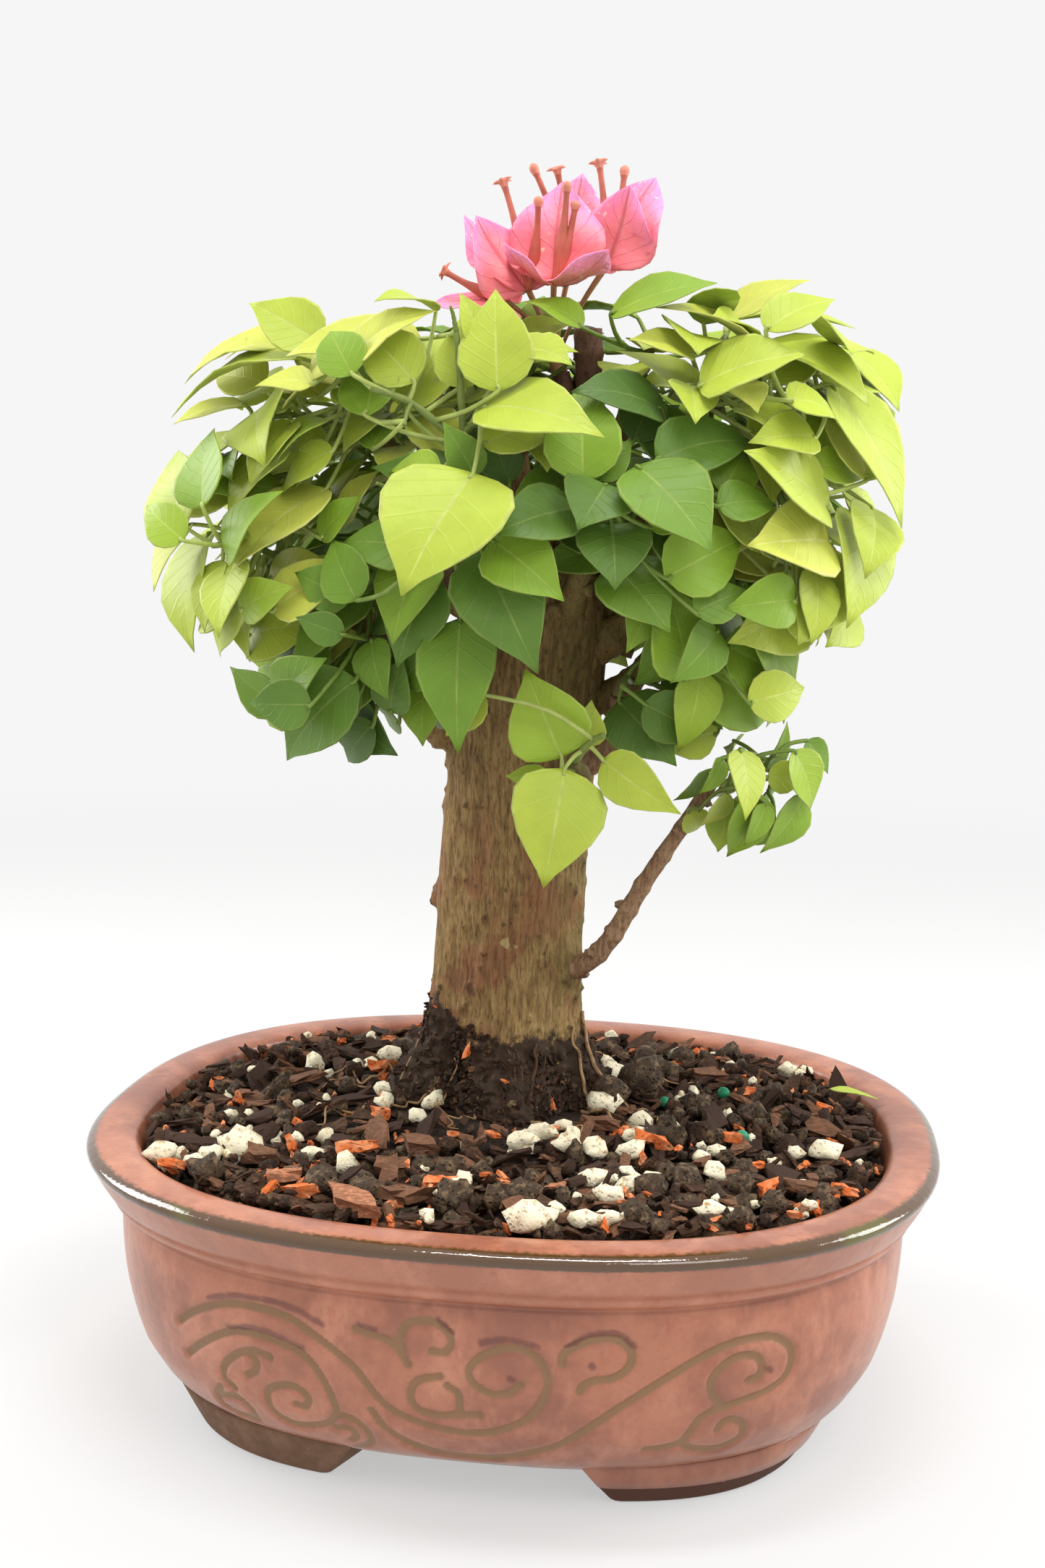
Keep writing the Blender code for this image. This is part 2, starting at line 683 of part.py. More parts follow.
def crosses_itself(bm):
    """Whether two triangles of the bmesh that share no corner meet."""
    bmesh.ops.triangulate(bm, faces=bm.faces)
    bm.faces.ensure_lookup_table()
    tree = BVHTree.FromBMesh(bm)
    return any(not set(bm.faces[i].verts) & set(bm.faces[j].verts) for i, j in tree.overlap(tree))


def inside_space(bm, centre, half_sizes):
    """Whether a bmesh is in its mass's egg-shaped space, and leaves the front to others."""
    for vert in bm.verts:
        away = vert.co - centre
        if sum((away[k] / half_sizes[k]) ** 2 for k in range(3)) > 1:
            return False
        if vert.co.y < FRONT_LIMIT:
            return False
        if all(low < value < high for value, (low, high) in zip(vert.co, OPEN_FRONT)):
            return False
    return True


def spread(centre, half_sizes, count, layers, cover):
    """Points spread by the golden angle over the side of an egg-shaped space that faces out.

    layers says how far out each point lies in turn, and cover how far round they go.
    """
    outward = crown_outward(centre)
    across = outward.orthogonal().normalized()
    other = outward.cross(across)
    points = []
    for i in range(count):
        height = 1 - (i + 0.5) / count * cover
        radius = math.sqrt(max(0.0, 1 - height * height))
        turn = GOLDEN_ANGLE * i
        point = outward * height + (across * math.cos(turn) + other * math.sin(turn)) * radius
        layer = layers[i % len(layers)]
        points.append(centre + Vector([point[k] * half_sizes[k] for k in range(3)]) * layer)
    return points


def nodes_behind(shoots, shape, used):
    """The shoots' nodes that a stalk can reach a blade from behind from, the nearest first."""
    base, heading = shape[:2]
    nodes = []
    for shoot in shoots:
        for first, second in zip(shoot[1:], shoot[2:]):
            for step in range(NODES_PER_STRETCH):
                node = first.lerp(second, (step + 0.5) / NODES_PER_STRETCH)
                stalk = base - node
                if STALK_SHORTEST < stalk.length < stalk.dot(heading) / STALK_ALONG:
                    crowding = sum(NODE_CROWDING for other in used if (other - node).length < NODE_SPACING)
                    nodes.append((stalk.length + crowding, node))
    return [node for _, node in sorted(nodes, key=lambda item: item[0])][:NODE_TRIES]


def arched_shape(foot, tip, width, face, bend):
    """The shape of a blade whose two ends are given: an arch between them, facing one way."""
    chord = tip - foot
    across = chord.normalized()
    face = (face - across * face.dot(across)).normalized()
    half_bend = bend / 2
    heading = across * math.cos(half_bend) + face * math.sin(half_bend)
    face = face * math.cos(half_bend) - across * math.sin(half_bend)
    return foot, heading, face, chord.length * half_bend / math.sin(half_bend), width, bend


def leading_shape(foot, tip, width):
    """The shape of a leading leaf, which faces out of the crown and to the light."""
    foot, tip = Vector(foot), Vector(tip)
    return arched_shape(foot, tip, width, crown_outward((foot + tip) / 2) + LIGHT, LEADING_BEND)


def leaf_measures(foot, hub, length, rng):
    """The measures of one leaf, all drawn before any is tried."""
    return {
        "foot": foot,
        "away": (foot - hub).normalized(),
        "length": length * rng.uniform(0.84, 1.1),
        "bend": math.radians(rng.uniform(30, 65)),
        "width": rng.uniform(0.94, 1.08),
        "drift": Vector([rng.uniform(-1, 1) for _ in range(3)]),
    }


def fit_leaf(leaf, attempt):
    """The leaf's shape at one attempt: each turns it further to either side, and shortens it."""
    outward = crown_outward(leaf["foot"])
    down = -UP + outward * outward.z
    heading = down * 0.55 + outward * 0.35 + leaf["away"] * 0.6 + leaf["drift"] * 0.25
    face = (outward + LIGHT + leaf["drift"] * 0.25).normalized()
    swing = 0.3 * attempt * (-1) ** attempt
    heading = Matrix.Rotation(swing, 3, face) @ heading
    heading = (heading - face * face.dot(heading) * 0.5).normalized()
    face = (face - heading * face.dot(heading)).normalized()
    length = leaf["length"] * (1 - 0.03 * attempt)
    return leaf["foot"] - heading * length * 0.1, heading, face, length, leaf["width"], leaf["bend"]


def bough_end(bough):
    """A point just clear of a bough's tip, the direction the bough ends in, and its radius."""
    _, _, route, _, radius = next(limb for limb in BOUGHS if limb[0] == bough)
    points = curve_points(route, 2)
    out = (points[-1] - points[-2]).normalized()
    return points[-1] + out * GAP, out, radius


def grow_stem(bough, centre):
    """The points of a mass's stem, from its bough's tip to its first fork, and its radius."""
    foot, out, radius = bough_end(bough)
    crotch = foot + out * 3 + (centre - foot) * 0.3
    return [foot, foot + out * 2.5, crotch], radius * 0.85


def grow_shoots(stem, centre, half_sizes, count, others):
    """The shoots that branch from a stem, each shortened until it is clear of its neighbours."""
    shoots = []
    for number, end in enumerate(spread(centre, half_sizes, count, (0.5,), 1.2)):
        start = stem[1].lerp(stem[2], 0.3 + 0.7 * (number + 1) / count)
        for reach in (1.0, 0.75, 0.5):
            shoot_end = start.lerp(end, reach)
            middle = start.lerp(shoot_end, 0.55) + UP * 0.10 * (shoot_end - start).length
            points = curve_points((start, middle, shoot_end), 2)
            test = tube_bmesh(points, SHOOT_FOOT + CLEARANCE, SHOOT_END + CLEARANCE)
            clear = others.clear_of(test)
            test.free()
            if clear:
                shoots.append(points)
                break
    return shoots


def place_leaf(node, shape, others, leaves, twigs, space):
    """Whether a leaf fits at its node: in its space, clear of limbs, twigs and other leaves.

    Where it does, it is remembered among the leaves.
    """
    solid = leaf_bmesh(node, *shape)
    blade = leaf_bmesh(None, *shape, grow=CLEARANCE)
    whole = leaf_bmesh(node, *shape, grow=CLEARANCE)
    fits = not crosses_itself(solid) and (space is None or inside_space(blade, *space))
    fits = fits and others.clear_of(whole) and leaves.clear_of(whole) and twigs.clear_of(blade)
    if fits:
        leaves.add(whole)
    for bm in (solid, blade, whole):
        bm.free()
    return fits


def make_mass(row, order, others, finishes, group):
    """One mass: a stem from its bough's tip, shoots, and leaves, fused into one solid."""
    name, bough, centre, half_sizes, shoot_count, leaf_count, leaf_length, tint = row
    rng = random.Random(SEED * 100 + order)
    centre, half_sizes = Vector(centre), Vector(half_sizes)
    finish = finishes[tint]
    reserved, own = Pieces(), Pieces()
    for other_name, leading in LEADING_LEAVES.items():
        for leaf in leading:
            blade = leaf_bmesh(None, *leading_shape(*leaf), grow=CLEARANCE)
            (own if other_name == name else reserved).add(blade)
    reserved.placed.extend(others.placed)
    own.placed.extend(reserved.placed)
    stem_points, stem_radius = grow_stem(bough, centre)
    stem = make_solid(name, tube_bmesh(stem_points, stem_radius, STEM_END, LIMB_SIDES), finish, group)
    pieces = make_collection(name + "_pieces")
    leaves, twigs = Pieces(), Pieces()
    shoots = grow_shoots(stem_points, centre, half_sizes, shoot_count, own)
    for points in shoots:
        solid = tube_bmesh(points, SHOOT_FOOT, SHOOT_END)
        twigs.add(solid)
        make_solid("twig", solid, finish, pieces)
    branches = [stem_points, *shoots]
    tries = [(others, None, [leading_shape(*leaf)]) for leaf in LEADING_LEAVES.get(name, ())]
    for foot in spread(centre, half_sizes, leaf_count, LEAF_LAYERS, LEAF_COVER):
        leaf = leaf_measures(foot, stem_points[2], leaf_length, rng)
        shapes = [fit_leaf(leaf, attempt) for attempt in range(LEAF_TRIES)]
        tries.append((reserved, (centre, half_sizes), shapes))
    fitted = []
    for neighbours, space, shapes in tries:
        used = [node for node, _ in fitted]
        places = ((node, shape) for shape in shapes for node in nodes_behind(branches, shape, used))
        for node, shape in places:
            if place_leaf(node, shape, neighbours, leaves, twigs, space):
                fitted.append((node, shape))
                break
    for node, shape in fitted:
        make_solid("leaf", leaf_bmesh(node, *shape), finish, pieces)
    others.add(stem)
    fuse(stem, pieces)
    others.placed.extend(twigs.placed + leaves.placed)
    print(f"{name}: {len(fitted)} leaves, {len(stem.data.polygons)} triangles")
    return len(fitted)


def make_blossom(finish, group):
    """The spray of blooms: each has three bracts round its slim tubes."""
    start, out, radius = bough_end(BLOSSOM_BOUGH)
    root, fork = start + out * (FORK_RISE - 2), start + out * FORK_RISE
    stem = make_solid("blossom", tube_bmesh([start, fork], radius * 0.85, 1.2), finish, group)
    pieces = make_collection("blossom_pieces")
    for foot, bracts, tubes in BLOOMS:
        foot = Vector(foot)
        lean = sum((Vector(tip) for tip, _, _ in bracts), Vector()) / len(bracts) - foot
        lean = (lean.normalized() + UP * 0.5).normalized()
        stalk = tube_bmesh([root, fork.lerp(foot, 0.5) + UP, foot + lean * 2], *PEDICEL_RADII)
        make_solid("pedicel", stalk, finish, pieces)
        for tip, width, inside in bracts:
            out = (Vector(tip) - foot).normalized()
            shape = arched_shape(foot + out * BRACT_SPREAD, Vector(tip), width, Vector(inside), BRACT_BEND)
            make_solid("bract", leaf_bmesh(None, *shape), finish, pieces)
        for tip in tubes:
            solid = tube_bmesh([foot + lean, Vector(tip)], TUBE_RADIUS, TUBE_RADIUS * 1.3)
            make_solid("tube", solid, finish, pieces)
    fuse(stem, pieces)
    print(f"blossom: {len(stem.data.polygons)} triangles")
    return stem


def main():
    clear_scene()
    group = make_collection("bougainvillea_bonsai")
    finishes = {name: make_finish(name) for name in FINISHES}
    pot = make_pot(group, finishes["glaze"])
    soil = make_soil(group, finishes["soil"])
    limbs = make_limbs(group, finishes["bark"])
    blossom = make_blossom(finishes["bract"], group)
    others = Pieces()
    for obj in (pot, soil, blossom, *limbs.values()):
        others.add(obj)
    leaf_finishes = [finishes[name] for name in LEAF_FINISHES]
    leaves = sum(make_mass(row, order, others, leaf_finishes, group) for order, row in enumerate(MASSES))
    stand = bpy.data.objects.new("bonsai", None)
    group.objects.link(stand)
    solids = [obj for obj in group.objects if obj.type == "MESH"]
    for obj in solids:
        obj.parent = stand
        obj.data.shade_flat()
        obj.data.calc_loop_triangles()
    print(f"{leaves} leaves, {sum(len(obj.data.loop_triangles) for obj in solids)} triangles in all")


main()
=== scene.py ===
# %% [markdown]
# # A bougainvillea bonsai in its glazed pot
#
# This lesson dresses a small potted tree. The solids of the pot, the soil, the trunk, the boughs and
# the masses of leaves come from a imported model, which we call the frame. They already have their
# true size and place, so here we only make what the eye wants: glaze with a carved scroll, grit,
# bark, several hundred leaves and the pink blossom. Everything is worked out in millimetres and
# turned into Blender's metres when a piece is made.

import math
import random

import bmesh
import bpy
import numpy as np
from mathutils import Matrix, Vector, noise
from mathutils.bvhtree import BVHTree


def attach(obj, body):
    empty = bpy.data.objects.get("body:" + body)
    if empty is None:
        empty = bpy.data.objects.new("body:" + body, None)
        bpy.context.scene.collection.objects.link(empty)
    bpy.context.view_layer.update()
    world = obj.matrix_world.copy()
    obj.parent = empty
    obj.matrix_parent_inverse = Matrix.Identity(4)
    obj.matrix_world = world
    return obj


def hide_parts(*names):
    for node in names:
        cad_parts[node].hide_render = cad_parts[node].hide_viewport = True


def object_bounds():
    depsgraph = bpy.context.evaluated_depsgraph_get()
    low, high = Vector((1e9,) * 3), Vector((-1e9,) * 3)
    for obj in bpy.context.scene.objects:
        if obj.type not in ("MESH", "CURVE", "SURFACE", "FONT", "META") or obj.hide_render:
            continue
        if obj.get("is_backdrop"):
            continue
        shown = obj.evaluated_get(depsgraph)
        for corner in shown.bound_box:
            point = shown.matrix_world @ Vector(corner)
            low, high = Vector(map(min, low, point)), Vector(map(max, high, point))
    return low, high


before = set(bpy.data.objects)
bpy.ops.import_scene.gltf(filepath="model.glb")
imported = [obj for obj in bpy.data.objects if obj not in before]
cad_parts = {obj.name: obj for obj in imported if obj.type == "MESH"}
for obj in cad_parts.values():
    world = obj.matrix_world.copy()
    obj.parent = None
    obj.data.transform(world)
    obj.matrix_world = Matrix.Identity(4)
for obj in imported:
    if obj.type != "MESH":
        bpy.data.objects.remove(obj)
cad_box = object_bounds()
MM = 0.001
SEED = 16
UP = Vector((0, 0, 1))
cad_size = [round(value / MM, 1) for value in cad_box[1] - cad_box[0]]
print("solids:", len(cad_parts), "box in mm:", cad_size)

# %% [markdown]
# ## Small shapes, copied many times
#
# Blender is quick when a thousand stones are one mesh, and slow when they are a thousand objects.
# So a small shape is modelled once with bmesh, read into arrays, and copied with numpy. A heap
# collects the copies, and make_piece turns the heap into one object that rides on the frame.

# %% Heaps of copies


def arrays_of(bm):
    """A bmesh's points, faces and the material number of each face, as plain arrays."""
    bm.verts.index_update()
    points = np.array([vert.co[:] for vert in bm.verts])
    faces = [[vert.index for vert in face.verts] for face in bm.faces]
    slots = [face.material_index for face in bm.faces]
    bm.free()
    return points, faces, slots


class Heap:
    """Copies of small shapes, in millimetres, that become one mesh in the end."""

    def __init__(self):
        self.points = []
        self.faces = []
        self.slots = []
        self.uvs = []
        self.has_uvs = False
        self.count = 0

    def add(self, points, faces, slots=None, uvs=None):
        self.faces += [[i + self.count for i in face] for face in faces]
        self.slots += slots or [0] * len(faces)
        self.points.append(points)
        self.count += len(points)
        self.has_uvs = self.has_uvs or uvs is not None
        self.uvs.append(np.zeros((sum(map(len, faces)), 2)) if uvs is None else uvs)


def new_object(name, data):
    """An object that holds the data, linked to the scene."""
    made = bpy.data.objects.new(name, data)
    bpy.context.scene.collection.objects.link(made)
    return made


def make_piece(name, heap, finishes, replaced=(), faceted=False):
    """One object from a heap: facing outwards, smooth or faceted, and riding on the frame."""
    mesh = bpy.data.meshes.new(name)
    mesh.from_pydata((np.concatenate(heap.points) * MM).tolist(), [], heap.faces)
    mesh.polygons.foreach_set("material_index", heap.slots)
    if heap.has_uvs:
        layer = mesh.uv_layers.new(name="UVMap")
        layer.uv.foreach_set("vector", np.concatenate(heap.uvs).ravel())
    bm = bmesh.new()
    bm.from_mesh(mesh)
    bmesh.ops.recalc_face_normals(bm, faces=bm.faces)
    bm.to_mesh(mesh)
    bm.free()
    if faceted:
        mesh.shade_flat()
    else:
        mesh.shade_smooth()
    for finish in finishes:
        mesh.materials.append(finish)
    piece = new_object(name, mesh)
    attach(piece, "root")
    if replaced:
        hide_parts(*replaced)
    print(f"{name}: {sum(len(face.vertices) - 2 for face in mesh.polygons)} triangles")
    return piece


# %% [markdown]
# ## Drums
#
# A trunk, a twig, a flower tube and even the pot are all one idea: rings of points, one above the
# other, closed at both ends. We spin a line of points into a drum once for each count of rings and
# sides, and then give every ring its own place.

# %% Drums
drums = {}


def drum(rings, sides):
    """The ring number and side number of each point of a closed drum, and its faces."""
    if (rings, sides) not in drums:
        bm = bmesh.new()
        line = [bm.verts.new((1, 0, ring)) for ring in range(rings)]
        edges = [bm.edges.new(pair) for pair in zip(line, line[1:])]
        bmesh.ops.spin(
            bm, geom=line + edges, cent=(0, 0, 0), axis=UP, angle=math.tau, steps=sides, use_merge=True
        )
        ends = [edge for edge in bm.edges if edge.is_boundary]
        bmesh.ops.holes_fill(bm, edges=ends, sides=0)
        points, faces, _ = arrays_of(bm)
        turn = np.arctan2(points[:, 1], points[:, 0]) / math.tau * sides
        drums[(rings, sides)] = (
            np.round(points[:, 2]).astype(int),
            np.round(turn).astype(int) % sides,
            faces,
        )
    return drums[(rings, sides)]


def add_drum(heap, rings, slot=0):
    """Adds a drum whose rings are given as an array of ring, side and coordinate."""
    rings = np.asarray(rings, dtype=float)
    ring, side, faces = drum(*rings.shape[:2])
    heap.add(rings[ring, side], faces, [slot] * len(faces))


def keep_numbers(piece, **grids):
    """Keeps a number at each point of a drum's piece, from a grid of rings and sides."""
    for name, grid in grids.items():
        ring, side, _ = drum(*grid.shape)
        layer = piece.data.attributes.new(name, "FLOAT", "POINT")
        layer.data.foreach_set("value", grid[ring, side])


# %% Curves and tubes


def curve_points(route, steps):
    """Points along a smooth curve through the route's points (Catmull-Rom)."""
    route = [Vector(point) for point in route]
    ends = [2 * route[0] - route[1], *route, 2 * route[-1] - route[-2]]
    points = []
    for a, b, c, d in zip(ends, ends[1:], ends[2:], ends[3:]):
        for step in range(steps):
            t = step / steps
            square = (2 * a - 5 * b + 4 * c - d) * t * t
            cube = (3 * b - a - 3 * c + d) * t ** 3
            points.append(0.5 * (2 * b + (c - a) * t + square + cube))
    points.append(route[-1])
    return points


def taper(count, first, last):
    return [first + (last - first) * i / (count - 1) for i in range(count)]


def tube_rings(points, radii, sides):
    """Rings of a tapering tube along the points, turned as little as they can be."""
    rings = []
    side = None
    for i, (point, radius) in enumerate(zip(points, radii)):
        radius = float(radius)
        along = (points[min(i + 1, len(points) - 1)] - points[max(i - 1, 0)]).normalized()
        if side is None:
            side = along.orthogonal().normalized()
        side = (side - along * side.dot(along)).normalized()
        other = along.cross(side)
        turns = [math.tau * k / sides for k in range(sides)]
        rings.append([point + radius * (side * math.cos(turn) + other * math.sin(turn)) for turn in turns])
    return rings


# %% [markdown]
# ## Sums in a material
#
# A pattern in a material is a chain of nodes. Written out link by link it is hard to read, so we wrap
# a socket in a small class: a plus or a minus between two wires adds the Math node that does it.

# %% Wires


class Wire:
    """An output inside a material. Sums on it add Math nodes, and node() adds any other node."""

    def __init__(self, tree, socket):
        self.tree = tree
        self.socket = socket

    def node(self, kind, settings, inputs, output=0):
        made = self.tree.nodes.new(kind)
        for name, value in settings.items():
            setattr(made, name, value)
        for name, value in inputs.items():
            if isinstance(value, Wire):
                self.tree.links.new(value.socket, made.inputs[name])
            else:
                made.inputs[name].default_value = value
        return Wire(self.tree, made.outputs[output])

    def maths(self, operation, first, second):
        return self.node("ShaderNodeMath", {"operation": operation}, {0: first, 1: second})

    def __add__(self, other):
        return self.maths("ADD", self, other)

    def __sub__(self, other):
        return self.maths("SUBTRACT", self, other)

    def __rsub__(self, other):
        return self.maths("SUBTRACT", other, self)

    def __mul__(self, other):
        return self.maths("MULTIPLY", self, other)

    __radd__ = __add__
    __rmul__ = __mul__

    def noise(self, size, detail=2.0, roughness=0.5):
        """Noise, from 0 to 1, whose lumps are about size millimetres across."""
        inputs = {"Vector": self, "Scale": 1 / (size * MM), "Detail": detail, "Roughness": roughness}
        return self.node("ShaderNodeTexNoise", {}, inputs)

    def cells(self, size):
        """The distance to the nearest of points scattered about size millimetres apart."""
        return self.node("ShaderNodeTexVoronoi", {}, {"Vector": self, "Scale": 1 / (size * MM)})

    def scaled(self, scale):
        return self.node("ShaderNodeMapping", {}, {"Vector": self, "Scale": scale})

    def step(self, low, high):
        """0 up to low, 1 from high, and a soft step between them."""
        settings = {"interpolation_type": "SMOOTHSTEP"}
        return self.node("ShaderNodeMapRange", settings, {"Value": self, "From Min": low, "From Max": high})

    def attribute(self, name):
        return self.node("ShaderNodeAttribute", {"attribute_name": name}, {}, "Fac")

    def part(self, axis):
        """One number of a vector."""
        return self.node("ShaderNodeSeparateXYZ", {}, {"Vector": self}, axis)


# %% Finishes made of wires


def blend(factor, first, second):
    """The colour between two, by a wire."""
    first = first if isinstance(first, Wire) else (*first, 1)
    second = second if isinstance(second, Wire) else (*second, 1)
    return factor.node("ShaderNodeMix", {"data_type": "RGBA"}, {0: factor, 6: first, 7: second}, 2)


def new_finish(name, roughness, **constants):
    """A material, and the wire of its object coordinates."""
    material = bpy.data.materials.new(name)
    material.use_nodes = True
    tree = material.node_tree
    shader = tree.nodes["Principled BSDF"]
    shader.inputs["Roughness"].default_value = roughness
    for socket, value in constants.items():
        shader.inputs[socket.replace("_", " ").title().replace("Ior", "IOR")].default_value = value
    place = Wire(tree, None).node("ShaderNodeTexCoord", {}, {}, "Object")
    return material, place


def paint(material, socket, wire):
    tree = material.node_tree
    tree.links.new(wire.socket, tree.nodes["Principled BSDF"].inputs[socket])


def emboss(material, height, depth):
    """Bumps a material by a wire that runs from 0 to 1, depth millimetres high."""
    inputs = {"Height": height, "Distance": depth * MM, "Strength": 1.0}
    paint(material, "Normal", height.node("ShaderNodeBump", {}, inputs))


# %% [markdown]
# ## Camera, floor and light
#
# The plant stands in a white studio. Soft lights in front and at both sides and an almost white sky
# leave only a faint shadow round the pot, and a long narrow light overhead draws the bright line along
# the lip. The floor glows a little and fades into the sky, so no horizon shows. The camera looks down a
# little, as someone does who sits at the table, and its place was fitted to the pot's outline.

# %% Camera, floor and light
CAMERA_PLACE = Vector((60.2, -408.2, 200.9))
CAMERA_FORWARD = Vector((-0.1445, 0.9800, -0.1371)).normalized()
CAMERA_RIGHT = Vector((0.9888, 0.1482, 0.0169)).normalized()
CAMERA_LENS = 40.42
FLOOR_SIZE = 6000.0
FLOOR_WHITE = (0.31, 0.31, 0.305)
FLOOR_GLOW = 0.48
FLOOR_FADES = (0.35, 1.1)
SKY = (0.922, 0.922, 0.922)
LIGHT_TARGET = Vector((0, 0, 130))
# Each light's place, size and power
LIGHTS = {
    "key_light": ((420, -520, 760), (380, 380), 2.4),
    "top_light": ((50, -150, 1100), (520, 100), 4.5),
    "right_light": ((640, 160, 420), (300, 420), 3.3),
    "left_light": ((-620, 120, 440), (300, 420), 3.5),
}

# %% Setting up the stage


def make_camera():
    data = bpy.data.cameras.new("camera")
    data.lens = CAMERA_LENS
    data.clip_start = 0.01
    camera = new_object("camera", data)
    upright = CAMERA_RIGHT.cross(CAMERA_FORWARD)
    camera.matrix_world = Matrix.LocRotScale(
        CAMERA_PLACE * MM,
        Matrix((CAMERA_RIGHT, upright, -CAMERA_FORWARD)).transposed().to_quaternion(),
        None,
    )
    bpy.context.scene.camera = camera


def make_light(name, place, size, power):
    data = bpy.data.lights.new(name, "AREA")
    data.energy = power
    data.shape = "RECTANGLE"
    data.size, data.size_y = size[0] * MM, size[1] * MM
    light = new_object(name, data)
    light.location = Vector(place) * MM
    light.rotation_euler = (LIGHT_TARGET - Vector(place)).to_track_quat("-Z", "Y").to_euler()


def make_floor():
    bm = bmesh.new()
    bmesh.ops.create_grid(bm, x_segments=1, y_segments=1, size=FLOOR_SIZE * MM / 2)
    mesh = bpy.data.meshes.new("floor")
    bm.to_mesh(mesh)
    bm.free()
    finish, place = new_finish("floor_white", 0.9, base_color=(*FLOOR_WHITE, 1), emission_color=(1, 1, 1, 1),
                               emission_strength=FLOOR_GLOW, specular_ior_level=0.0)
    away = place.node("ShaderNodeVectorMath", {"operation": "LENGTH"}, {0: place}, "Value")
    paint(finish, "Alpha", 1 - away.step(*FLOOR_FADES))
    mesh.materials.append(finish)
    floor = new_object("floor", mesh)
    floor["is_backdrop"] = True


make_camera()
make_floor()
for name, (place, size, power) in LIGHTS.items():
    make_light(name, place, size, power)
world = bpy.data.worlds.new("studio")
world.use_nodes = True
world.node_tree.nodes["Background"].inputs["Color"].default_value = (*SKY, 1)
bpy.context.scene.world = world
bpy.context.scene.view_settings.view_transform = "Standard"
print("camera at", CAMERA_PLACE[:], "mm")

# %% [markdown]
# ## The pot
#
# The real pot is thrown or moulded stoneware: an oval bowl with a thick rounded lip, and a scroll
# carved into the wet clay by hand before the glaze went on. We make it as one drum with a ring every
# 0.7 mm on the wall, fine enough to press the carved lines into the mesh itself.

# %% The pot's profile
LIP_HALF_LENGTH = 100.0
LIP_HALF_WIDTH = 87.2
LIP_SQUARENESS = 2.43
POT_SIDES = 840
WALL_TOP = 48.4
WALL_STEP = 0.7
# Where the way round the wall is measured: its inset from the lip's outline, and its squareness
GIRTH_INSET = 8.9
GIRTH_SQUARENESS = 2.5
# Height, inset from the lip's outline, and squareness of the oval
UNDERSIDE = ((7.5, 60.0, 2.6), (7.5, 24.4, 2.57))
WALL = (
    (7.7, 23.0, 2.57),
    (9.2, 20.7, 2.56),
    (12.0, 17.0, 2.54),
    (20.0, 12.1, 2.49),
    (32.0, 8.7, 2.43),
    (44.0, 7.6, 2.40),
    (WALL_TOP, 8.2, 2.40),
)
LIP = (
    (WALL_TOP, 8.2, 2.40),
    (49.2, 8.7, 2.41),
    (49.9, 8.0, 2.42),
    (51.0, 6.0, 2.43),
    (52.6, 5.1, 2.43),
    (53.3, 5.3, 2.43),
    (54.0, 4.3, 2.43),
    (57.0, 2.5, 2.43),
    (60.2, 0.85, 2.43),
    (61.6, 0.15, 2.43),
    (62.6, 0.35, 2.43),
    (63.35, 1.4, 2.43),
    (63.8, 2.8, 2.43),
    (63.9, 6.0, 2.43),
    (63.7, 8.8, 2.43),
    (63.1, 10.6, 2.43),
    (62.0, 11.6, 2.43),
    (58.0, 12.3, 2.43),
    (44.0, 14.4, 2.43),
    (24.0, 18.2, 2.5),
    (14.5, 24.5, 2.55),
    (14.5, 60.0, 2.6),
)
# How many rows of the lip are joined by a smooth curve, before the plain inside
LIP_SMOOTH = 17

# %% The rows of the profile


def profile_rows():
    """The rows of the whole pot, close together on the wall and the lip."""
    rows = [Vector(row) for row in UNDERSIDE]
    smooth = curve_points(WALL, 24)
    heights = np.array([point.x for point in smooth])
    for height in np.arange(WALL[0][0], WALL_TOP, WALL_STEP):
        k = min(int(np.searchsorted(heights, height)), len(smooth) - 1)
        rows.append(Vector((height, smooth[k].y, smooth[k].z)))
    rows += curve_points(LIP[:LIP_SMOOTH], 2) + [Vector(row) for row in LIP[LIP_SMOOTH:]]
    return np.array([row[:] for row in rows])


def oval(half_length, half_width, squareness, turn):
    """Points of an oval that runs from an ellipse, at 2, towards a rectangle."""
    c, s = np.cos(turn), np.sin(turn)
    x = half_length * np.sign(c) * np.abs(c) ** (2 / squareness)
    y = half_width * np.sign(s) * np.abs(s) ** (2 / squareness)
    return x, y


fine_turns = np.linspace(-1.5 * math.pi, 0.5 * math.pi, 40001)
girth_half = (LIP_HALF_LENGTH - GIRTH_INSET, LIP_HALF_WIDTH - GIRTH_INSET)
girth_x, girth_y = oval(*girth_half, GIRTH_SQUARENESS, fine_turns)
girth = np.concatenate([[0], np.cumsum(np.hypot(np.diff(girth_x), np.diff(girth_y)))])
girth -= np.interp(-0.5 * math.pi, fine_turns, girth)
half_girth = girth[-1]
# How far round the wall each side is from the middle of the front, and its turn
side_place = -half_girth + 2 * half_girth * np.arange(POT_SIDES) / POT_SIDES
side_turn = np.interp(side_place, girth, fine_turns)
print("round the wall in mm:", round(2 * half_girth, 1), "rows:", len(profile_rows()))

# %% [markdown]
# ## The carved scroll
#
# It is the old cloud scroll of garden pots: long lines that roll and end in curls. Each stroke is a
# smooth curve through a few points on the unrolled wall, across from the middle of the front and up
# from the table. The carver worked the back the same way. Where iron shows through the glaze, dark
# smudges lie just above the strokes, and they have short strokes of their own.

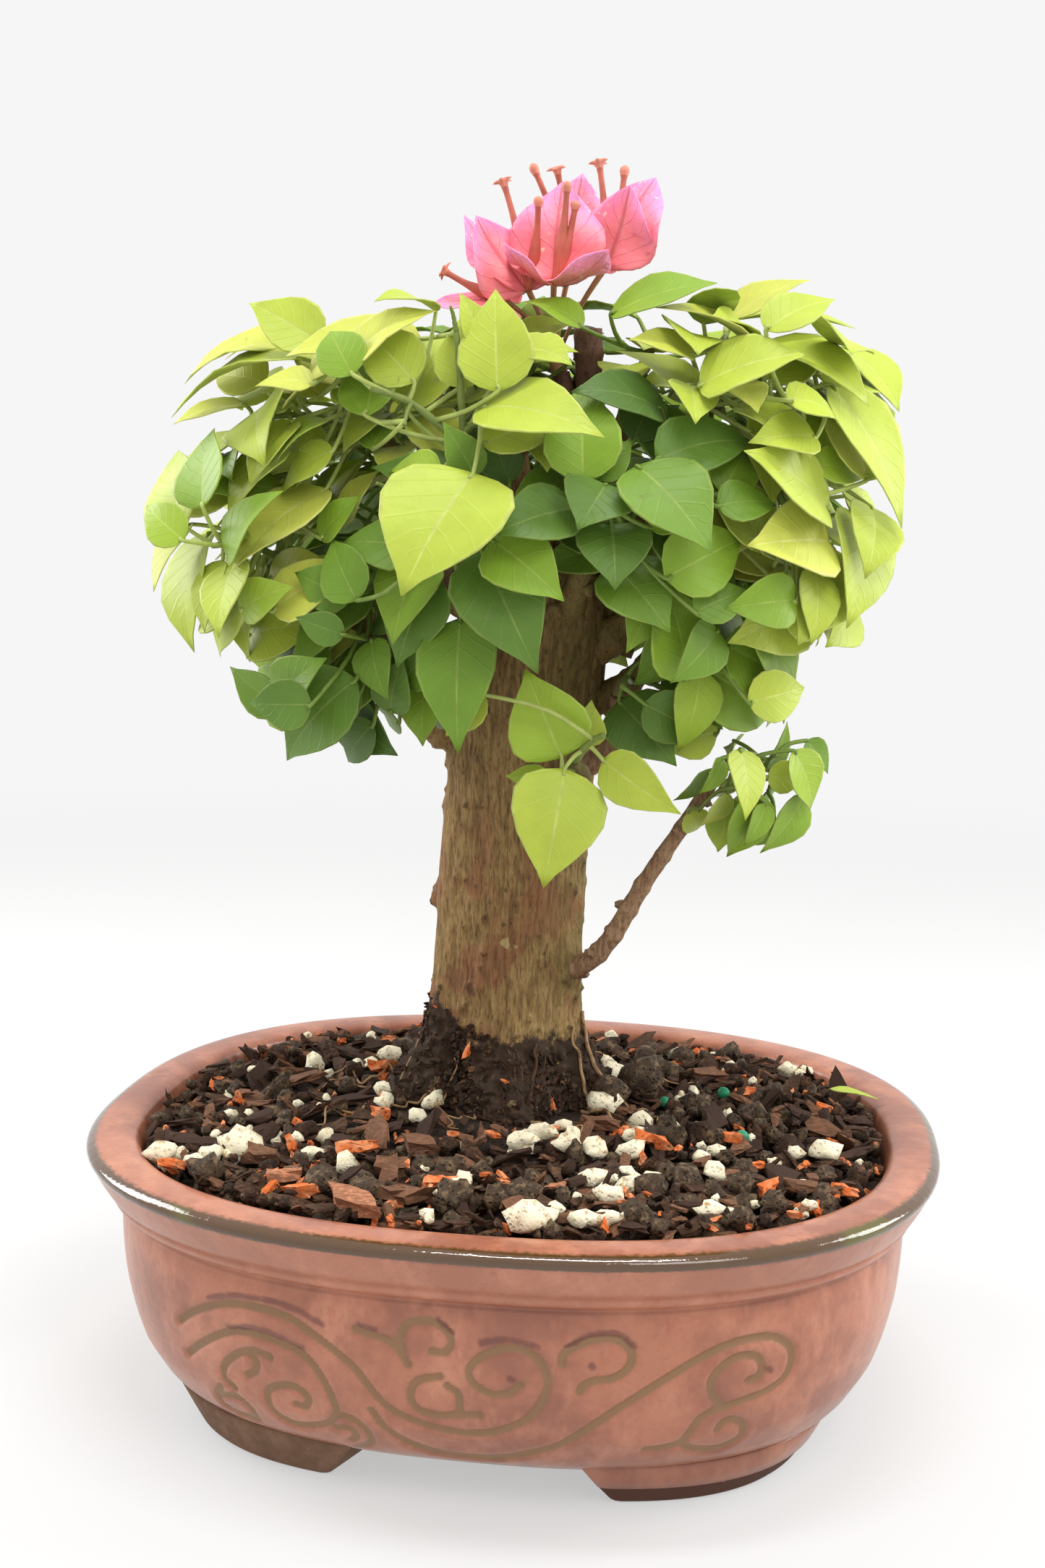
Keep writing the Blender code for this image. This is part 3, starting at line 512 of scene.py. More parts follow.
# %% The scroll's strokes
SCROLL = (
    # The long upper line that rolls up at the middle
    ((-66.5, 33.5), (-61, 37.5), (-52.5, 41.5), (-44, 42.7), (-37, 42), (-31.5, 39.5), (-26.5, 36.5),
     (-22, 33), (-19, 29), (-15.5, 25), (-11, 22.5), (-4.5, 20.6), (2, 20), (8, 21), (14, 24), (17.5, 28),
     (19.5, 32.5), (19, 36.5), (17, 39.5), (13.5, 41), (9.5, 40.5), (5.5, 38.5), (3, 35.5), (4, 32.5),
     (7.5, 30.5), (11, 30.7), (14, 33)),
    # The lower line, that rises to the great curl at the right
    ((-19, 23.5), (-16, 19), (-11.5, 15.5), (-5.5, 13.2), (2.5, 12.6), (10, 13.5), (17, 16), (22, 18.5),
     (26.5, 22), (32, 26.5), (38, 31), (44, 35), (50, 38.5), (56, 40.8), (62, 41.5), (67, 40.5),
     (70.5, 37.5), (71, 34), (69.5, 30.7), (65.5, 28.5), (60.5, 27.5), (56, 26.5), (53.5, 25.8), (51, 24),
     (49.5, 21), (47.5, 18.5), (44, 17.3), (40.5, 17)),
    ((56, 26.5), (53.5, 30), (53, 33.5), (55.5, 36.5), (59, 38), (62.5, 37.2), (64, 34.8), (63.3, 32.6),
     (61, 32)),
    ((47.5, 18.5), (52, 16), (57.5, 15.5), (61.5, 17.5), (62, 20.5), (60, 22.7), (57, 23), (55.8, 21)),
    # The arch at the left, with its curls
    ((-65.5, 26), (-59, 31), (-52.5, 35), (-47.5, 36.5), (-41, 36.3), (-35, 35), (-31.5, 32.5), (-29, 28.5),
     (-27.5, 24.5), (-27, 21.5), (-29.5, 18), (-34.5, 16), (-38.5, 15.5), (-42, 17), (-43.7, 20),
     (-43.3, 23.3), (-40, 25.5), (-36, 26), (-33.3, 24), (-34.3, 21.5), (-36.5, 21.5)),
    ((-41.5, 32), (-45, 32.6), (-49.5, 31), (-54, 27), (-55, 23.5), (-52.5, 21.5)),
    ((-47.5, 31.8), (-45.3, 30.5), (-45.5, 28), (-48, 26)),
    ((-57, 20.5), (-60, 17), (-59, 14.3), (-54.5, 13), (-49.5, 13.5)),
    ((-59, 17.5), (-53, 19), (-50, 17), (-49.8, 14)),
    ((-27, 21), (-23, 20), (-20.5, 17), (-20.5, 13.7), (-25, 10.8)),
    ((-28, 17), (-24.5, 17.3), (-23.5, 15.5), (-25, 13.5)),
    # The curls in the middle
    ((-22, 42), (-18.5, 41.2), (-15, 40.5), (-12.5, 38.5), (-10.5, 35.5)),
    ((-11.5, 38.5), (-12.5, 41), (-11, 44), (-8.5, 45.2), (-5, 45.2), (-2, 43.5), (-1, 41), (-2.5, 39),
     (-5.5, 39)),
    ((-3.5, 33.5), (-8.5, 32), (-10.2, 28), (-8.5, 25), (-4.5, 24), (0.5, 24.6), (5, 25)),
    ((-2, 31.5), (0.5, 29.5), (0.7, 25)),
    # The crook on the right
    ((22.5, 38), (23, 40.5), (26.5, 42.7), (30.5, 43.7), (34.5, 43), (36.5, 40), (35.5, 37), (32.5, 35),
     (29, 34.5), (27, 33.5), (26, 32)),
)
# The smudges of iron
SMUDGES = (
    ((-56.5, 42), (-49, 44.3), (-41, 45), (-35, 44.5), (-29, 42)),
    ((-51.5, 36.6), (-45, 38), (-39, 37.6), (-33.5, 36)),
    ((-21, 43.2), (-17.5, 42.6)),
    ((-4, 46), (-0.8, 43.6)),
    ((6, 42), (11.5, 43), (17.5, 41.8)),
    ((23.5, 42), (28.5, 44.6), (34, 44.6), (36.8, 42.2)),
    ((11.8, 34.4), (12.4, 34.2)),
    ((28.4, 38), (28.6, 37.6)),
    ((65.5, 34), (66, 33.6)),
)
STROKE_STEPS = 8
GROOVE_HALF = 1.1
GROOVE_DEPTH = 0.8
# The low ridge beside a groove: where it is in half grooves, how wide, and how high
RIDGE_PLACE = 1.7
RIDGE_WIDTH = 0.6
RIDGE_RISE = 0.1
SMUDGE_WIDTH = 1.15

# %% The way to the nearest stroke


def nearest_stroke(strokes, across, height):
    """How far each point of the wall is from the nearest stroke."""
    nearest = np.full(across.shape, 99.0)
    for stroke in strokes:
        points = curve_points([(*point, 0) for point in stroke], STROKE_STEPS)
        for start, end in zip(points, points[1:]):
            run = end - start
            t = ((across - start.x) * run.x + (height - start.y) * run.y) / run.length_squared
            t = np.clip(t, 0, 1)
            away = np.hypot(across - start.x - t * run.x, height - start.y - t * run.y)
            nearest = np.where(away < nearest, away, nearest)
    return nearest


def smooth_share(value, low, high):
    """0 up to low, 1 from high, with a soft step between, for arrays."""
    share = np.clip((value - low) / (high - low), 0, 1)
    return share * share * (3 - 2 * share)


print("strokes:", len(SCROLL), "smudges:", len(SMUDGES))

# %% [markdown]
# ## Pressing the scroll into the wall
#
# Every point of the drum is placed on its oval, and then moved in by the depth of the groove there.
# We also keep three numbers on each point for the glaze to read: how deep in a groove it is, how much
# iron shows, and how near the lip's outer corner, where the glaze ran thin and broke brown.

# %% The pot's mesh
# The rows that are carved lie above this height, and are inset by less than this
CARVED_FROM = 8.0
CARVED_INSET = 23.0
UNDERSIDE_TOP = 7.6
WORN_HEIGHT = 62.3
WORN_WIDTH = 1.6
WORN_INSET = 3.5


def make_pot(glaze, clay):
    rows = profile_rows()
    height, inset, squareness = rows[:, :1], rows[:, 1:2], rows[:, 2:]
    x, y = oval(LIP_HALF_LENGTH - inset, LIP_HALF_WIDTH - inset, squareness, side_turn[None, :])
    z = height + 0 * x
    wall = (height[:, 0] > CARVED_FROM) & (height[:, 0] < WALL_TOP) & (inset[:, 0] < CARVED_INSET)
    groove, ridge, iron = (np.zeros(x.shape) for _ in range(3))
    place = (side_place[None, :] + half_girth / 2) % half_girth - half_girth / 2 + 0 * z[wall]
    away = nearest_stroke(SCROLL, place, z[wall])
    groove[wall] = smooth_share(-away, -1.3 * GROOVE_HALF, -0.45 * GROOVE_HALF)
    ridge[wall] = np.exp(-((away - RIDGE_PLACE * GROOVE_HALF) / RIDGE_WIDTH) ** 2)
    iron[wall] = np.exp(-(nearest_stroke(SMUDGES, place, z[wall]) / SMUDGE_WIDTH) ** 2)
    inward = 1 + (ridge * RIDGE_RISE - groove * GROOVE_DEPTH) / LIP_HALF_WIDTH
    rings = np.stack([x * inward, y * inward, z], axis=-1)
    worn = np.exp(-np.abs((height[:, 0] - WORN_HEIGHT) / WORN_WIDTH) ** 3) * (inset[:, 0] < WORN_INSET)
    heap = Heap()
    add_drum(heap, rings)
    piece = make_piece("pot_body", heap, (glaze, clay), ("pot",))
    keep_numbers(piece, groove=groove, iron=iron, worn=worn[:, None] + 0 * x)
    for face in piece.data.polygons:
        if face.center.z < UNDERSIDE_TOP * MM and abs(face.normal.z) > 0.5:
            face.material_index = 1


# %% [markdown]
# ## The glaze
#
# The glaze is a dusty pink that goes mauve and salmon in clouds, with fine specks. On the lip's corner
# it broke to a glossy olive brown, and in the grooves it pooled to a dull tan. Only colours, gloss and
# the bump change from place to place.

# %% The glaze and the bare clay
PINK = (0.420, 0.155, 0.085)
MAUVE = (0.275, 0.096, 0.056)
SALMON = (0.530, 0.215, 0.125)
BRICK = (0.320, 0.078, 0.036)
# A painted shade for the glaze low on the wall and on the glazed foot
PAINTED_SHADE_UMBER = (0.200, 0.078, 0.045)
SPECK = (0.15, 0.05, 0.035)
OLIVE_BROWN = (0.082, 0.037, 0.011)
OLIVE_GREEN = (0.095, 0.078, 0.008)
GROOVE_TAN = (0.235, 0.130, 0.056)
IRON = (0.13, 0.034, 0.022)
CLAY = (0.140, 0.074, 0.043)
CLAY_PALE = (0.215, 0.120, 0.074)
CLAY_DARK = (0.080, 0.033, 0.020)
CLAY_SPECK = (0.45, 0.33, 0.26)
GLAZE_ROUGHNESS = 0.33
GLAZE_COAT = 0.15

# %% Making the glaze and the clay


def glaze_finish():
    material, place = new_finish("glaze", GLAZE_ROUGHNESS)
    height = place.part(2) * (1 / MM)
    band = height.step(49, 51) * (1 - height.step(60, 61))
    # Painted shade: the glaze darkens to umber towards the foot, where the bowl's underside is in shade
    shaded = (1 - height.step(3, 24)) * 0.45
    clouds = place.noise(26, 4, 0.65).step(0.38, 0.62) * (1 - band * 0.6)
    colour = blend(clouds, PINK, MAUVE)
    colour = blend(place.scaled((1, 1, 0.5)).noise(12, 4, 0.65).step(0.44, 0.72) * 0.8, colour, SALMON)
    colour = blend(place.scaled((1, 1, 0.35)).noise(5, 4, 0.7).step(0.56, 0.74) * 0.45, colour, BRICK)
    colour = blend(place.noise(1.0, 2).step(0.45, 0.80) * 0.28, colour, MAUVE)
    colour = blend(shaded, colour, PAINTED_SHADE_UMBER)
    specks = (1 - place.cells(6.5).step(0.02, 0.055)) * place.noise(16).step(0.52, 0.62)
    colour = blend(specks * 0.85, colour, SPECK)
    groove = place.attribute("groove")
    colour = blend(groove.step(0.25, 0.85) * 0.88, colour, GROOVE_TAN)
    iron = place.attribute("iron") + (place.noise(2.6, 4, 0.7) - 0.5) * 0.9
    colour = blend(iron.step(0.40, 0.95) * 0.75, colour, IRON)
    ragged = place.attribute("worn") + (place.noise(1.3, 3) - 0.5) * 0.35
    worn = ragged.step(0.42, 0.66)
    rim = blend(place.noise(24, 2).step(0.57, 0.64), OLIVE_BROWN, OLIVE_GREEN)
    colour = blend(worn, colour, rim)
    paint(material, "Base Color", colour)
    paint(material, "Roughness", GLAZE_ROUGHNESS + groove * 0.25 - worn * 0.25)
    paint(material, "Coat Weight", GLAZE_COAT + worn * 0.45)
    emboss(material, place.noise(3.0, 3), 0.20)
    return material


def clay_finish():
    material, place = new_finish("bare_clay", 0.82, specular_ior_level=0.25)
    colour = blend(place.noise(6, 5, 0.7).step(0.35, 0.75), CLAY, CLAY_PALE)
    colour = blend(place.part(0).step(-0.02, 0.03), colour, CLAY_DARK)
    specks = 1 - place.cells(5.5).step(0.02, 0.06)
    paint(material, "Base Color", blend(specks * 0.6, colour, CLAY_SPECK))
    emboss(material, place.noise(0.9, 3, 0.7), 0.25)
    return material


glaze, clay = glaze_finish(), clay_finish()
make_pot(glaze, clay)

# %% [markdown]
# ## The feet
#
# Four bracket feet follow the bowl's oval and stand out a little under it. Each is a run of sections
# along its quarter, rounded at the lower edge. The glaze was wiped off them before the firing, but it
# ran down over most of the foot at the front right, where it stops in a low step.

# %% The feet
# Height, half length, half width and squareness of the foot's oval, then where the gaps between
# the feet end, at the front and at the side
FOOT_BOTTOM = (0.0, 72.1, 62.9, 3.2, 31.0, 36.0)
FOOT_TOP = (10.5, 79.6, 67.4, 2.85, 24.0, 29.0)
FOOT_THICK = 13.0
FOOT_SECTIONS = 26
GLAZE_ENDS = 0.42
# The outline of a section: how far up it is, and how far in, both as shares
FOOT_OUTLINE = (
    (0.0, 0.10), (0.025, 0.03), (0.10, 0.0), (0.20, 0.0), (0.39, 0.0), (0.42, -0.02), (0.44, -0.045),
    (0.64, -0.03), (0.84, -0.01), (0.94, 0.02), (1.0, 0.10), (1.0, 0.5), (1.0, 1.0), (0.5, 1.0),
    (0.08, 1.0), (0.0, 0.93), (0.0, 0.5),
)
# How far a section near a foot's end is from that end, and how much smaller it is there
END_ROUNDING = ((0.0, 0.8), (0.012, 0.25), (0.03, 0.0))

# %% Modelling the feet


def foot_point(share, up, inward, sign_x, sign_y, shrink):
    """A point of a foot: share runs along its quarter of the oval."""
    row = [low + (high - low) * up for low, high in zip(FOOT_BOTTOM, FOOT_TOP)]
    height, half_length, half_width, squareness, front_end, side_end = row
    at_front = math.acos((front_end / half_length) ** (squareness / 2))
    at_side = math.asin((side_end / half_width) ** (squareness / 2))
    turn = at_side + (at_front - at_side) * share
    inset = FOOT_THICK * inward + shrink * (0.5 - inward)
    x, y = oval(half_length - inset, half_width - inset, squareness, turn)
    return (x * sign_x, y * sign_y, height + shrink * (0.4 - 0.8 * up) * (up < 0.5))


def make_feet(glaze, clay):
    heap = Heap()
    shares = [share for share, _ in END_ROUNDING]
    shares += list(np.linspace(0.05, 0.95, FOOT_SECTIONS)) + [1 - share for share in reversed(shares)]
    for sign_x in (-1, 1):
        for sign_y in (-1, 1):
            glazed = sign_x > 0 and sign_y < 0
            rings = []
            for share in shares:
                shrink = dict(END_ROUNDING).get(round(min(share, 1 - share), 3), 0.0)
                rings.append([
                    foot_point(share, up, inward if glazed or inward > 0 else 0.0, sign_x, sign_y, shrink)
                    for up, inward in FOOT_OUTLINE
                ])
            start = len(heap.faces)
            add_drum(heap, rings)
            if glazed:
                points = np.concatenate(heap.points)
                for k in range(start, len(heap.faces)):
                    low = points[heap.faces[k], 2].min()
                    if len(heap.faces[k]) == 4 and low > (GLAZE_ENDS - 0.01) * FOOT_TOP[0]:
                        heap.slots[k] = 1
    make_piece("pot_feet", heap, (clay, glaze))


make_feet(glaze, clay)

# %% [markdown]
# ## The soil
#
# A bonsai stands in coarse grit: black lava, white pumice, bark chips and a little orange clay. The
# frame's soil is the smooth bed under it, and it only gets a dark finish. On top we pour about two
# thousand grains. Each one tries a few places and settles in the lowest, as a real grain rolls into a
# gap, and a map of heights remembers how high the heap has grown.

# %% A map of the soil's height
SOIL_INSET = 12.6
TRUNK_FOOT = (-6.2, 17.0)
TRUNK_FOOT_RADIUS = 25.0
FLARE_TOP = 74.0
# The height that the map gives to a place with no soil
NO_ROOM = 500.0


def tree_of(node):
    """A frame node as a tree for ray casts and overlap tests, in millimetres."""
    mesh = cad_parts[node].data
    points = [vert.co / MM for vert in mesh.vertices]
    return BVHTree.FromPolygons(points, [tuple(face.vertices) for face in mesh.polygons])


MAP_X, MAP_Y = np.arange(-96, 97), np.arange(-84, 85)
map_x, map_y = np.meshgrid(MAP_X, MAP_Y, indexing="ij")
soil_tree, trunk_tree = tree_of("soil"), tree_of("trunk")
heights = np.full(map_x.shape, NO_ROOM)
for i, x in enumerate(MAP_X):
    for j, y in enumerate(MAP_Y):
        hit = soil_tree.ray_cast(Vector((x, y, 100)), -UP)[0]
        flare = trunk_tree.ray_cast(Vector((x, y, 300)), -UP)[0]
        if hit and not (flare and flare.z > FLARE_TOP):
            heights[i, j] = max(hit.z, flare.z if flare else 0)
bed = heights.copy()
print("soil from", round(float(bed.min()), 1), "to", round(float(bed[bed < NO_ROOM].max()), 1), "mm")

# %% [markdown]
# ## Grains
#
# A lump is a small ball of eighty faces pushed in and out by noise. A chip of bark is a thin cube cut
# once each way and pushed out of true, and we leave its faces flat, as broken bark is. Eight of each
# kind, turned and stretched at random, look like as many different stones as we like.

# %% The shapes of the grains
GRAIN_SHAPES = 8


def lump(seed, rough, coarse):
    bm = bmesh.new()
    bmesh.ops.create_icosphere(bm, subdivisions=2, radius=1)
    for vert in bm.verts:
        push = noise.noise(vert.co * coarse + Vector((seed * 9.7, 0, 0)))
        push += 0.5 * noise.noise(vert.co * coarse * 2.3 + Vector((0, seed * 5.3, 0)))
        vert.co *= 1 + rough * push
    return arrays_of(bm)


def chip(seed, rough, thin):
    bm = bmesh.new()
    bmesh.ops.create_cube(bm, size=1.5)
    bmesh.ops.subdivide_edges(bm, edges=bm.edges, cuts=1, use_grid_fill=True)
    slant_x, slant_z = 0.55 * math.sin(seed * 4.1), 0.5 * math.sin(seed * 3.3)
    for vert in bm.verts:
        push = Vector([noise.noise(vert.co * 1.4 + Vector((seed * 7.1, k * 3.3, 0))) for k in range(3)])
        narrow = 1 - 0.45 * vert.co.x * math.sin(seed * 2.4) - 0.25 * abs(vert.co.x)
        slanted = Vector((slant_x * vert.co.y, 0, slant_z * vert.co.x))
        vert.co = (vert.co + push * rough + slanted) * Vector((1.2, 0.66 * narrow, thin))
    return arrays_of(bm)


LAVA_SHAPES = [lump(seed, 0.70, 1.6) for seed in range(GRAIN_SHAPES)]
PUMICE_SHAPES = [lump(seed + 20, 0.62, 1.25) for seed in range(GRAIN_SHAPES)]
CHIP_SHAPES = [chip(seed, 0.60, 0.24) for seed in range(GRAIN_SHAPES)]
CLOD_SHAPES = [chip(seed + 40, 0.75, 0.62) for seed in range(GRAIN_SHAPES)]

# %% Turning a grain


def turned(points, size, spin, tilt):
    """The points at a size, tilted at random by up to tilt, and spun round."""
    turn = Matrix.Rotation(spin[0], 3, "Z") @ Matrix.Rotation(tilt * spin[1], 3, "X")
    turn = np.array(turn @ Matrix.Rotation(spin[2], 3, "Z"))
    return (points * size) @ turn.T


def any_spin(rng):
    """The three angles of a grain that lies as it falls."""
    return [rng.uniform(0, math.tau), rng.uniform(-1.5, 1.5), rng.uniform(0, math.tau)]


def add_grain(heap, shape, sizes, spins, tilt, place, slot):
    """Adds a grain to a heap: at its size, turned, and at its place."""
    points, faces, _ = shape
    heap.add(turned(points, sizes, spins, tilt) + np.array(place), faces, [slot] * len(faces))


print("faces of a lump:", len(LAVA_SHAPES[0][1]), "of a chip:", len(CHIP_SHAPES[0][1]))

# %% Grit finishes
LAVA = (0.058, 0.035, 0.019)
# A painted highlight, laid on the lava in pale patches
LAVA_PAINTED_HIGHLIGHT = (0.215, 0.140, 0.075)
CHIP_BROWN = (0.120, 0.058, 0.030)
CHIP_DARK = (0.040, 0.020, 0.011)
CHIP_DULL = (0.05, 0.024, 0.016)
CHIP_RED = (0.235, 0.105, 0.056)
CHIP_SALMON = (0.56, 0.225, 0.115)
CLAY_ORANGE = (0.62, 0.145, 0.035)
CLAY_PALE_ORANGE = (0.70, 0.27, 0.12)
PUMICE_WHITE = (0.84, 0.76, 0.55)
PUMICE_TAN = (0.46, 0.29, 0.13)
PUMICE_CREAM = (0.72, 0.60, 0.38)
FINES = (0.030, 0.018, 0.012)

# %% Making the grit finishes


def grit_finish(name, colour, worn, size, depth, roughness=0.85, spread=(0.50, 0.66), painted_pit_shade=0.5):
    """A grain's finish: a base colour with patches of wear, which on lava are a painted highlight, and pits
    darkened as painted shade.
    """
    material, place = new_finish(name, roughness, specular_ior_level=0.22)
    tone = blend(place.noise(size * 2.5, 4, 0.65).step(*spread), colour, worn)
    pits = 1 - place.cells(size * 1.3).step(0.12, 0.38)
    # Painted shade: the pits are darkened to a third of the grain's colour
    paint(material, "Base Color", blend(pits * painted_pit_shade, tone, tuple(0.35 * value for value in colour)))
    emboss(material, place.noise(size * 0.7, 3, 0.7) - pits * 0.9, depth)
    return material


def bark_chip_finish(name, colour, dark):
    """Broken bark: long fibres in two browns."""
    material, place = new_finish(name, 0.8, specular_ior_level=0.22)
    fibres = place.scaled((0.35, 1, 1)).noise(0.6, 4, 0.7)
    tone = blend(fibres.step(0.38, 0.66), dark, colour)
    paint(material, "Base Color", blend(place.noise(4, 3).step(0.45, 0.62) * 0.6, tone, dark))
    emboss(material, fibres, 0.3)
    return material


grit = {
    # On lava the patches of the second colour are a painted highlight
    "lava": grit_finish("lava", LAVA, LAVA_PAINTED_HIGHLIGHT, 0.9, 0.7, 0.6, (0.46, 0.70)),
    "lava_brown": grit_finish("lava_brown", CHIP_DARK, CHIP_BROWN, 0.9, 0.6),
    "chip": bark_chip_finish("bark_chip", CHIP_BROWN, CHIP_DARK),
    "chip_dark": bark_chip_finish("dark_chip", CHIP_DULL, CHIP_DARK),
    "chip_red": bark_chip_finish("red_chip", CHIP_RED, CHIP_BROWN),
    "chip_salmon": bark_chip_finish("salmon_chip", CHIP_SALMON, CHIP_RED),
    "orange": grit_finish("orange_clay", CLAY_ORANGE, CLAY_PALE_ORANGE, 1.2, 0.25, spread=(0.45, 0.60)),
    "pumice": grit_finish("pumice", PUMICE_WHITE, PUMICE_TAN, 1.0, 0.35, spread=(0.54, 0.68), painted_pit_shade=0.12),
    "pumice_clean": grit_finish("pumice_clean", PUMICE_WHITE, PUMICE_CREAM, 0.8, 0.35, painted_pit_shade=0.1),
    "fines": grit_finish("fines", FINES, CHIP_BROWN, 0.6, 0.3),
}
bed_finish = grit_finish("soil_bed", FINES, CHIP_DARK, 1.4, 1.0)
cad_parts["soil"].material_slots[0].material = bed_finish
print("grit finishes:", len(grit))

# %% [markdown]
# ## Pouring the grains
#
# The pot is filled in three rounds, each of smaller grains than the one before, so that small stuff
# fills the gaps between large. Last come the stones that lie on top, each laid at its listed place.
# Near the rim a grain stays about level with the lip.

# %% The rounds
# Kind, shapes, finishes, how many, smallest and largest radius, stretch, tilt, and flatness
ROUNDS = (
    ("lava", LAVA_SHAPES, ("lava", "lava", "lava_brown"), 200, 2.4, 4.2, 0.75, 1.0, 0.9),
    ("chips", CHIP_SHAPES, ("chip", "chip_dark", "chip_red"), 240, 2.8, 5.0, 0.8, 0.6, 0.4),
    ("pumice", PUMICE_SHAPES, ("pumice", "pumice_clean"), 36, 2.0, 3.2, 0.8, 0.7, 0.8),
    ("lava", LAVA_SHAPES, ("lava", "lava_brown", "lava"), 240, 1.6, 3.2, 0.75, 1.0, 0.9),
    ("chips", CHIP_SHAPES, ("chip", "chip", "chip_red", "chip_dark"), 230, 2.0, 3.9, 0.8, 0.8, 0.4),
    ("orange", CLOD_SHAPES, ("orange",), 90, 1.2, 2.4, 0.8, 1.0, 0.8),
    ("pumice", PUMICE_SHAPES, ("pumice", "pumice_clean"), 44, 1.4, 2.6, 0.75, 0.7, 0.8),
    ("lava", LAVA_SHAPES, ("lava", "lava_brown", "fines"), 360, 0.9, 2.0, 0.8, 1.0, 0.9),
    ("chips", CHIP_SHAPES, ("chip", "chip_red", "chip_dark", "chip"), 430, 1.3, 3.0, 0.9, 0.8, 0.4),
    ("orange", CLOD_SHAPES, ("orange",), 190, 0.6, 1.6, 0.8, 1.0, 0.9),
    ("pumice", PUMICE_SHAPES, ("pumice_clean", "pumice"), 70, 0.8, 1.7, 0.8, 1.0, 0.9),
)
# The stones on top: place across and in depth, and radius
LAID = {
    "pumice": ((-73.5, -45.4, 2.9), (-62.5, -44.7, 2.5), (-57.3, -38.7, 5.1), (-64.6, -48.3, 1.8),
        (-40.3, -39.2, 2.2), (-4, -50.5, 2.2), (5.5, -29.7, 2.6), (12.8, -68.8, 4.3), (15.8, -67.6, 2.6),
        (-9.4, -56.8, 1.4), (15.5, -27.2, 3), (23.6, -42.8, 2.7), (5.5, -29.8, 2.7), (22.5, -29, 2.8),
        (30, -28.3, 2.8),
        (30.4, -39.2, 2.3), (31.3, -45.5, 2.4), (27.5, -52.3, 2.8), (17.4, -61.8, 2), (24.1, -66.2, 2.4),
        (28.5, -64.6, 2.3), (49.6, -36.9, 2.4), (73.4, -17.6, 3), (66.8, -18.6, 1.7), (49.2, -56.5, 2.4),
        (69.5, -48.9, 1.4), (45.8, -25.8, 2), (49.2, -21.1, 1.7), (-33.5, 4.3, 2.3), (-31.8, -4.4, 2.4),
        (-19.5, -5.8, 2.5), (-21.9, -13.3, 2.2), (19.4, 27.8, 3.1), (20.4, 2.3, 3.7), (8.4, -5.8, 3),
        (13.3, -14.1, 1.6), (9.4, -22, 2.6), (16.2, -23.2, 2.2), (30.2, -19.6, 2.3),
    ),
    "orange": ((-69.4, -49.7, 2.3), (-30.7, -37.3, 3), (-36.5, -62.1, 2.6), (-8.9, -52.5, 3.1),
        (4.6, -49.3, 1.7), (-25.3, -53.7, 1.5), (-36.8, -56, 1.7), (35, -24, 2.8), (61.1, -41.4, 2.9),
        (77.4, -38.2, 2.3), (66.7, -54.7, 1.3), (58.7, -27.1, 1.6), (52, -15.8, 2.2), (26.3, -28, 1.3),
        (31.2, -55, 1.2), (-36.7, 18.4, 2.9), (12.6, -1.2, 2.2), (-1.7, -25.1, 1.3), (-11.4, -22.6, 1.2),
        (29, 19.2, 1.6), (-30.6, -13.7, 2.4),
    ),
    "salmon": ((-42.4, -55.1, 4.5), (-24.1, -67.1, 6.4), (16.2, -50.2, 3.3)),
    "red": ((-21.2, -44.9, 4.3), (-16.9, -34.6, 4.4), (-14.3, -61.5, 5.1), (-51.3, -43.6, 4.3),
        (67.4, -39.3, 3.7), (73, -40.8, 2.4), (46.6, -29.5, 2.3), (21.2, -10.7, 5), (25.2, 3.3, 2.3),
        (29.9, 0.4, 2.4),
    ),
    "lava": ((-33.1, -57.6, 3.8), (-22.5, -59.3, 3.1), (-4, -61.3, 3.9), (-8.3, -44.4, 3.2),
        (-59.6, -54.5, 3.5), (4.6, -59.7, 3), (36.1, -46.3, 3.5), (43, -39.5, 3.5), (55.5, -41.6, 3.2),
        (33.6, -61.1, 3), (39.5, -67.2, 1.9), (55.6, -60.1, 2.5), (62.2, -50.7, 2.8), (49.3, -46.3, 2.5),
        (83.8, -22.1, 3.3), (10.2, -54.8, 3.7), (29, 17, 5.7), (22, 6, 4.1),
    ),
}
# How each kind that is laid one by one is made: what it joins, its shapes, finish, stretch and flatness
LAID_KINDS = {
    "pumice": ("pumice", PUMICE_SHAPES, "pumice", (1.15, 0.85, 0.8), 0.8),
    "orange": ("orange", CLOD_SHAPES, "orange", (1.15, 1.0, 0.9), 0.6),
    "salmon": ("chips", CHIP_SHAPES, "chip_salmon", (0.9, 0.75, 1.3), 0.4),
    "red": ("chips", CHIP_SHAPES, "chip_red", (0.85, 1.0, 1.5), 0.4),
    "lava": ("lava", LAVA_SHAPES, "lava", (1.0, 1.0, 0.95), 0.9),
}
# %% [markdown]
# ## Where a grain settles
#
# A grain covers a small round part of the map. Its middle comes to lie a little above the highest spot
# there, so that grains sink into each other's gaps, and then the map rises where it lies.

# %% Settling and pouring
PLACES_TRIED = 7
# Shares of a grain's height: how far its middle keeps above the map, and how much it adds to it
NESTLE = 0.60
HEAPING = 0.8
RIM_LEVEL = 63.4
# How far a poured grain may reach above the bed, away from the rim
MOUND_ROOM = 6.5


def settle(x, y, radius, flatness):
    """How low the middle of a grain can lie at a place, and the part of the map it covers."""
    reach = int(math.ceil(radius))
    i, j = int(round(x)) - MAP_X[0], int(round(y)) - MAP_Y[0]
    part = (slice(i - reach, i + reach + 1), slice(j - reach, j + reach + 1))
    away = (map_x[part] - x) ** 2 + (map_y[part] - y) ** 2
    cap = np.sqrt(np.clip(radius * radius - away, 0, None)) * flatness
    under = away < radius * radius * 0.8
    if under.size == 0 or not under.any():
        return NO_ROOM, part, cap
    return float((heights[part] + cap * NESTLE)[under].max()), part, cap


